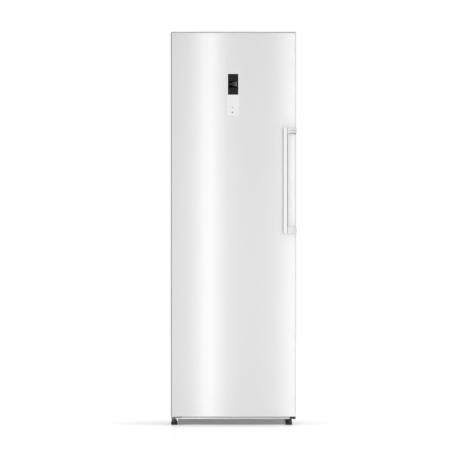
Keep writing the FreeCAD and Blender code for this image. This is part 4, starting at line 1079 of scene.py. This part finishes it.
@dataclass
class FrontBase:
    """Hinge fixings, levelling feet and the stop bracket, under and behind the door."""

    pin: Pair = (-0.285, -0.275)
    top_screws: Sequence[Pair] = ((-0.270, -0.222), (-0.270, -0.168), (-0.240, -0.222), (-0.240, -0.168))
    top_screw_z: float = 1.853
    low_screws: Sequence[float] = (-0.280, -0.256)
    low_screw_z: float = 0.048
    rail_face: float = -0.238
    rail_back: float = -0.190
    rail_half: float = 0.2965
    plinth_x: Pair = (-0.263, 0.248)
    plinth_y: Pair = (-0.232, -0.208)
    feet: Sequence[tuple[str, float]] = (("foot_left", -0.281), ("foot_right", 0.264))
    foot_y: float = -0.215
    foot_ribs: int = 24

    def build(self) -> None:
        """Make the screws, the nut, the feet and the bracket."""
        screws = Mesh("hinge_screws")
        for x, y in self.top_screws:
            self._head(screws, (x, y, self.top_screw_z), (0, 0, 1))
        for x in self.low_screws:
            self._head(screws, (x, self.rail_face - 0.003, self.low_screw_z), (0, -1, 0))
        screws.finish(ZINC, "cabinet", ["hinge_bolts"], smooth=40)
        nut = Mesh("hinge_pin_nut")
        nut.lathe(mm((0, 0), (7.2, 0), (8.5, 1.2), (8.5, 11.8), (7.2, 13), (0, 13)), (*self.pin, 0.020), steps=6)
        nut.lathe(mm((0, 0), (4.5, 0), (5, 0.6), (5, 4), (0, 4)), (*self.pin, 0.0165))
        nut.finish(BLACK_STEEL, "cabinet", ["hinge_bolts"], smooth=30)
        for name, x in self.feet:
            self._foot(name, x)
        self._stop()
        self._rail()

    @staticmethod
    def _head(shape: Mesh, place: Point, axis: Point) -> None:
        """A flanged hexagon head with a short shank below it.

        Args:
            shape: The mesh to add to.
            place: The centre of its seat.
            axis: The way it points.
        """
        shape.lathe(mm((0, -10), (3, -10), (3, 0), (6.8, 0), (7, 0.6), (5.6, 1.2), (0, 1.2)), place, axis)
        seat = tuple(Vector(place) + Vector(axis) * 0.001)
        shape.lathe(mm((0, 0), (5.7, 0), (5.7, 2.4), (5, 3), (0, 3)), seat, axis, 6)

    def _foot(self, name: str, x: float) -> None:
        """A screw foot: ribbed drum, chamfered collar and threaded stem.

        Args:
            name: Its CAD node and body.
            x: Its place sideways.
        """
        shape = Mesh(f"{name}_moulding")
        centre = (x, self.foot_y, 0)
        shape.lathe(mm((0, 0), (12.8, 0), (14.8, 0.8), (16.2, 2.4), (16.2, 4.2), (14.6, 5.2), (14.6, 15),
                       (15.2, 16), (15.2, 18.4), (13, 20.8), (11.2, 21.6), (10.8, 28), (10, 29), (0, 29)),
                    centre, steps=48)
        for turn in range(self.foot_ribs):
            verts = shape.slab((-0.0007, 0.0140, 0.0050), (0.0007, 0.0153, 0.0160), 0.0004, 1)
            spin = Matrix.Rotation(math.tau * turn / self.foot_ribs, 4, "Z")
            bmesh.ops.transform(shape.bm, verts=verts, matrix=Matrix.Translation(centre) @ spin)
        start, pitch = 28.5, 1.5
        turns = [(r, start + (step + part) * pitch) for step in range(15) for r, part in ((4.4, 0), (5, 0.5))]
        shape.lathe(mm((0, start), *turns, (4.4, 51), (3.6, 52), (0, 52)), centre, steps=20)
        shape.finish(BLACK_PLASTIC, name, [name], smooth=40)

    def _rail(self) -> None:
        """The pale rail under the door, a grey strip set back above it as painted shade of the gap under the door,
        and the grey plinth below it with its clipped ends.
        """
        half, face, back = self.rail_half, self.rail_face, self.rail_back
        rail = Mesh("base_rail")
        rail.slab((-half, face, 0.0284), (half, back, 0.0354), 0.0007, 3)
        rail.finish(RAIL_WHITE, "cabinet", ["front_rail"])
        # Grey strip set back above the rail: painted shade of the gap under the door.
        recess = Mesh("painted_shade_rail_recess")
        recess.slab((-half, face + 0.008, 0.0350), (half, back, 0.060), 0.0004, 2)
        recess.finish(SHADE_AND_PRINT_GREY, "cabinet")
        plinth = Mesh("plinth")
        plinth.prism(quad(self.plinth_x, self.plinth_y), (0.003, 0.0282), Axis.Z, every(0.012, (0, 1)), 0.0009, 8)
        front = self.plinth_y[0]
        for x in inside(self.plinth_x, 0.075):
            plinth.slab((x - 0.009, front + 0.004, 0.0278), (x + 0.009, front + 0.016, 0.0300), 0.0006, 2)
        plinth.finish(PLINTH, "cabinet", ["kick_plate"], smooth=50)

    def _stop(self) -> None:
        """A black pressed angle with a leg and a tongue."""
        shape = Mesh("stop_bracket")
        face = self.rail_face
        for low, high in (((0.270, face - 0.003, 0.0285), (0.2945, face, 0.040)),
                          ((0.2702, face - 0.0032, 0.009), (0.2782, face - 0.0002, 0.0398)),
                          ((0.2701, face - 0.024, 0.0371), (0.2944, face - 0.0001, 0.0401))):
            shape.slab(low, high, 0.0008)
        for x in (0.2742, 0.2885):
            self._head(shape, (x, face - 0.003, 0.0335), (0, -1, 0))
        shape.finish(BLACK_STEEL, "cabinet", ["door_stop_bracket"], smooth=50)


# ---------------------------------------------------------------- cabinet

@dataclass
class CabinetShell:
    """Folded outer sheets, the ribbed back and the louvred cover of the machine room."""

    half: float = 0.2975
    front_y: float = -0.240
    back_y: float = 0.325
    low: float = 0.032
    flange_low: float = 0.060
    high: float = 1.850
    turned: float = 0.012
    sheet: float = 0.001
    fold: float = 0.0022
    ribs: Sequence[float] = (-0.150, -0.050, 0.050, 0.150)
    rib_out: float = 0.0025
    machine_high: float = 0.260
    slot_x: float = -0.246
    slot_z: float = 0.070
    slot_pitch: Pair = (0.084, 0.026)
    inlet_x: float = 0.130
    inlet_low: float = 0.165
    screw_rows: Sequence[float] = (0.285, 0.560, 0.850, 1.140, 1.430, 1.700)
    plug_places: Sequence[Pair] = ((0.240, -0.222), (0.270, -0.222), (0.240, -0.168), (0.270, -0.168))

    def build(self) -> None:
        """Make the sheets, the back and the cover."""
        self._sides()
        self._back()
        self._louvres()
        shape = Mesh("lid_plugs")
        for x, y in self.plug_places:
            shape.lathe(mm((0, -0.4), (5.2, -0.4), (5.2, 0.4), (4.4, 1.2), (2, 1.6), (0, 1.6)),
                        (x, y, self.high), (0, 0, 1), 20)
        shape.finish(COVER_WHITE, "cabinet", smooth=50)

    def _sides(self) -> None:
        """Both side sheets, folded in at the front and back with a small radius."""
        shape = Mesh("side_sheets")
        bm = shape.bm
        turned = self.half - self.turned
        for side in (-1, 1):
            outline = ((turned, self.front_y), (self.half, self.front_y), (self.half, self.back_y),
                       (turned, self.back_y))
            verts = [bm.verts.new((side * x, y, self.low)) for x, y in outline]
            shape.pull([bm.edges.new(pair) for pair in zip(verts, verts[1:])], self.high - self.low)
        bmesh.ops.recalc_face_normals(bm, faces=bm.faces)
        for face in bm.faces:
            middle = face.calc_center_median()
            axis = 0 if abs(face.normal.x) > 0.5 else 1
            if face.normal[axis] * middle[axis] < 0:
                face.normal_flip()
        shape.bevel([e for e in bm.edges if all(abs(abs(v.co.x) - self.half) < 1e-6 for v in e.verts)
                     and abs(e.verts[0].co.z - e.verts[1].co.z) > 0.5], self.fold, 5, clamp=True)
        shape.cut((0, 0, self.flange_low), (0, 0, 1))
        gone = [f for f in bm.faces if f.calc_center_median().z < self.flange_low
                and f.calc_center_median().y < self.front_y + 0.0003]
        bmesh.ops.delete(bm, geom=gone, context="FACES")
        thicken(shape.finish(WHITE_CABINET, "cabinet", ["side_panels"], smooth=60), self.sheet)

    def _back(self) -> None:
        """The back sheet with four pressed ribs and its screws."""
        shape = Mesh("back_sheet")
        side, back, low, high = self.half - self.turned, self.back_y, self.machine_high, self.high
        shape.slab((-side, back - 0.001, low), (side, back, high - 0.001), 0.0003, 1)
        for x in self.ribs:
            shape.prism(quad((x - 0.009, x + 0.009), inside((low, high), 0.060)),
                        (back - 0.0005, back + self.rib_out), Axis.Y, every(0.0085), 0.0, 6)
        tops = [f for f in shape.bm.faces if abs(f.calc_center_median().y - back - self.rib_out) < 1e-6]
        shape.bevel({e for f in tops for e in f.edges}, 0.0022, 4)
        shape.finish(GALVANISED, "cabinet", ["rear_panel"], smooth=50)
        screws = Mesh("back_screws")
        places = [(sign * (side - 0.008), back, z) for sign in (-1, 1) for z in self.screw_rows]
        places += [(x, back, high - 0.012) for x in (-0.20, -0.10, 0.0, 0.10, 0.20)]
        cover = back - 0.0015
        places += [(sign * 0.272, cover, z) for sign in (-1, 1) for z in (0.050, 0.240)]
        places += [(0.0, cover, 0.2485), (0.0, cover, 0.046)]
        for place in places:
            screws.lathe(mm((0, -0.4), (4.6, -0.4), (4.6, 0.2), (4.2, 1), (3, 1.8), (1.6, 2.1), (1.6, 0.9),
                            (0, 0.9)), place, (0, 1, 0), 12)
        screws.finish(ZINC, "cabinet", smooth=40)

    def _louvres(self) -> None:
        """A pressed hood over every slot of the machine room's cover."""
        shape = Mesh("louvre_hoods")
        section = mm((-0.5, 12.5), (-0.5, 6.5), (0.6, 4.6), (3, 3), (3.6, 4), (2.8, 8))
        for row in range(5):
            for column in range(6):
                x, z = self.slot_x + column * self.slot_pitch[0], self.slot_z + row * self.slot_pitch[1]
                if abs(x + 0.033 - self.inlet_x) < 0.055 and z > self.inlet_low:
                    continue
                shape.prism([(self.back_y - 0.0015 + out, z + up) for out, up in section], (x + 0.001, x + 0.065),
                            Axis.X)
        shape.finish(GALVANISED, "cabinet", smooth=50)


@dataclass
class Compressor:
    """Hermetic can with a welded seam, a domed lid and a pressed foot plate."""

    x: float = -0.070
    y: float = 0.215
    radius: float = 0.070

    def build(self) -> None:
        """Make the can and its foot plate."""
        shape = Mesh("compressor_can")
        x, y, r = self.x, self.y, self.radius
        wall = mm((-14, 60.2), (-6, 62), (-1.2, 67), (0, 74), (0, 131.6), (2.2, 132.2), (2.5, 133.5), (2.5, 137),
                  (1.8, 138), (-0.6, 138.6), (-0.6, 169), (-2, 176.5), (-7, 186.5), (-16, 198), (-28, 208),
                  (-42, 216), (-56, 220.3))
        shape.lathe([(0, 0.0602), *((r + out, up) for out, up in wall), (0, 0.2219)], (x, y, 0), steps=64)
        for turn in (35, 155, 275):
            cos, sin = math.cos(math.radians(turn)), math.sin(math.radians(turn))
            shape.lathe(mm((0, -4), (5.2, -4), (5.2, 7), (3.6, 9), (0, 9)), (x + r * cos, y + r * sin, 0.108),
                        (cos, sin, 0), 16)
        shape.prism(quad((x - 0.100, x + 0.100), (y - 0.065, y + 0.065)), (0.057, 0.0604), Axis.Z, every(0.014),
                    0.0008, 6)
        for rib in (y - 0.056, y + 0.056):
            shape.slab((x - 0.070, rib - 0.004, 0.0600), (x + 0.070, rib + 0.004, 0.0628), 0.0012, 3)
        shape.finish(BLACK_STEEL, "cabinet", ["compressor"], smooth=40)


# ---------------------------------------------------------------- cold room

@dataclass
class ColdRoom:
    """Trim round the mouth of the room, shelf edges, the lamp cover's ribs and the clear flaps."""

    half: float = 0.2355
    floor: float = 0.130
    top: float = 1.780
    mouth_y: float = -0.240
    shelf_tops: Sequence[float] = (1.570, 1.360, 1.150, 0.877, 0.604, 0.331)
    shelf_front: Pair = (-0.1405, -0.1255)
    shelf_back: Pair = (0.200, 0.211)
    lamp_y: Pair = (-0.116, -0.064)
    flap_hinges: Sequence[float] = (1.764, 1.550, 1.340)
    flap_half: float = 0.226
    flap_y: float = -0.160
    flap_tall: float = 0.165
    hinge_y: float = -0.152

    def build(self) -> None:
        """Make the trims and the flaps."""
        bead = Mesh("room_mouth_bead")
        bead.bead(inside((-self.half, self.half), -0.0002), inside((self.floor, self.top), -0.0002),
                  half_round(6, 0.0, -0.0035, self.mouth_y + 0.0006, -0.0022, 0.006, -1.0))
        bead.finish(LINER, "cabinet", smooth=60)
        edges = Mesh("shelf_edges")
        side = self.half - 0.0015
        for top in self.shelf_tops:
            for front, back in (self.shelf_front, self.shelf_back):
                edges.slab((-side, front, top - 0.0070), (side, back, top + 0.0016), 0.0016, 4)
        edges.finish(TUB, "cabinet", smooth=50)
        ribs = Mesh("lamp_ribs")
        for step in range(13):
            x = -0.048 + step * 0.008
            ribs.slab((x - 0.0012, self.lamp_y[0], self.top - 0.0100),
                      (x + 0.0012, self.lamp_y[1], self.top - 0.0085), 0.0006, 2)
        ribs.finish(LENS, "cabinet", smooth=50)
        for index, hinge in enumerate(self.flap_hinges):
            self._flap(f"flap_{index + 1}", hinge)

    def _flap(self, name: str, hinge: float) -> None:
        """A clear flap with a pressed border, a grip and its barrel.

        Args:
            name: Its CAD node and body.
            hinge: Height of its hinge.
        """
        shape = Mesh(f"{name}_moulding")
        x, y, low, pivot = self.flap_half, self.flap_y, hinge - self.flap_tall, self.hinge_y
        shape.prism(quad((-x, x), (low, hinge)), (y, y + 0.004), Axis.Y, every(0.010, (0, 1)), 0.0009, 6)
        shape.rod((-x, pivot, hinge), (x, pivot, hinge), 0.0065, 28, 0.0008)
        shape.slab((-x + 0.001, y + 0.001, hinge - 0.006), (x - 0.001, pivot, hinge - 0.0002), 0.0006, 2)
        end = self.half - 0.0015
        shape.rod((-end, pivot, hinge), (end, pivot, hinge), 0.003, 20, 0.0005)
        shape.slab((-0.060, y - 0.006, low + 0.0002), (0.060, y + 0.001, low + 0.0034), 0.0014, 4)
        for inset in (0.012, 0.017):
            shape.bead((-x, x), (low, hinge - 0.010), half_round(4, inset, 0.0013, y + 0.0002, -0.0010, 0.008))
        shape.finish(CLEAR, name, [name], smooth=45)


@dataclass
class Drawer:
    """One drawer: tub with ribs and a rolled rim, and a frosted front with a pressed border."""

    number: int
    floor: float
    tall: float
    back: float
    half: float = 0.222
    front_half: float = 0.226
    front_y: float = -0.160
    rib_pitch: float = 0.034
    rim_section: Sequence[Pair] = tuple(mm((0.4, -3.5), (-2, -3.2), (-3, -1.8), (-2.8, 0), (-1.2, 1.2), (1.2, 1.4),
                                           (3, 0.6), (3.2, -2)))

    def build(self) -> None:
        """Finish both CAD pieces and add ribs, rim and border."""
        body, top = f"drawer_{self.number}", self.floor + self.tall
        eased(f"drawer_tub_{self.number}", TUB, 0.0012, 3)
        eased(f"drawer_front_{self.number}", CLEAR, 0.0009, 3)
        ribs = Mesh(f"drawer_ribs_{self.number}")
        start, end = self.front_y + 0.030, self.back - 0.020
        count = max(2, int((end - start) / self.rib_pitch))
        for side in (-1, 1):
            x0, x1 = sorted((side * (self.half - 0.0008), side * (self.half + 0.0012)))
            for step in range(count + 1):
                y = start + step * (end - start) / count
                ribs.slab((x0, y - 0.0018, self.floor + 0.018), (x1, y + 0.0018, top - 0.030), 0.0009, 2)
        ribs.bead((-self.half, self.half), (self.front_y + 0.0072, self.back),
                  [(grow, top - 0.012 + up, 0.010 - grow) for grow, up in self.rim_section], Axis.Z)
        ribs.finish(TUB, body, smooth=50)
        border = Mesh(f"drawer_border_{self.number}")
        for inset in (0.011, 0.0155):
            border.bead((-self.front_half, self.front_half), (self.floor + 0.001, top),
                        half_round(4, inset, 0.0012, self.front_y + 0.0002, -0.0010, 0.007))
        border.finish(CLEAR, body, smooth=45)


# ---------------------------------------------------------------- plain pieces

EASED: dict[str, tuple[Finish, float]] = {
    "top_panel": (WHITE_CABINET, 0.0004),
    "base_plate": (GALVANISED, 0.0004),
    "machine_tray": (GALVANISED, 0.0004),
    "machine_cover": (GALVANISED, 0.0003),
    "start_relay_box": (BLACK_PLASTIC, 0.0015),
    "evaporator_cover": (LINER, 0.001),
    "fan_motor": (BLACK_PLASTIC, 0.0006),
    "fan_impeller": (BLACK_PLASTIC, 0.0003),
    "drip_gutter": (ALUMINIUM, 0.0004),
    "drip_tray": (BLACK_PLASTIC, 0.0008),
    "mains_inlet": (BLACK_PLASTIC, 0.0005),
    "rear_spacers": (BLACK_PLASTIC, 0.0015),
    "light_lens": (LENS, 0.0015),
    "glass_shelves": (GLASS, 0.0008),
    # The top cap's dark grey is painted shade of the door's top edge.
    "door_top_cap": (CAP_PAINTED_SHADE, 0.0006),
    "door_bottom_cap": (PANEL_WHITE, 0.0006),
    "hinge_top_bracket": (ZINC, 0.0004),
    "hinge_top_cover": (COVER_WHITE, 0.002),
    "hinge_bottom_bracket": (ZINC, 0.0004),
    "roller_left": (BLACK_PLASTIC, 0.0006),
    "roller_right": (BLACK_PLASTIC, 0.0006),
}

KEPT: dict[str, Finish] = {
    "cabinet_insulation": FOAM, "inner_liner": LINER, "condenser_tube": BLACK_STEEL,
    "condenser_wires": BLACK_STEEL, "compressor_mounts": RUBBER, "refrigerant_tubes": COPPER,
    "evaporator": ALUMINIUM, "defrost_heater": ALUMINIUM, "hinge_bushes": NYLON, "handle_screws": ZINC,
    "display_board": BOARD,
}


def main() -> None:
    """Build the studio and every piece."""
    Studio().build()
    for node, finish in KEPT.items():
        finish.dress(frame["nodes"][node])
    for node, (finish, width) in EASED.items():
        eased(node, finish, width)
    drawers = [Drawer(1, 0.8774, 0.260, 0.198), Drawer(2, 0.6044, 0.260, 0.198), Drawer(3, 0.3314, 0.260, 0.198),
               Drawer(4, 0.1304, 0.188, 0.064)]
    for assembly in (DoorShell(), Handle(), ControlPanel(), FrontBase(), CabinetShell(), Compressor(), ColdRoom(),
                     *drawers):
        assembly.build()


if __name__ == "__main__":
    main()
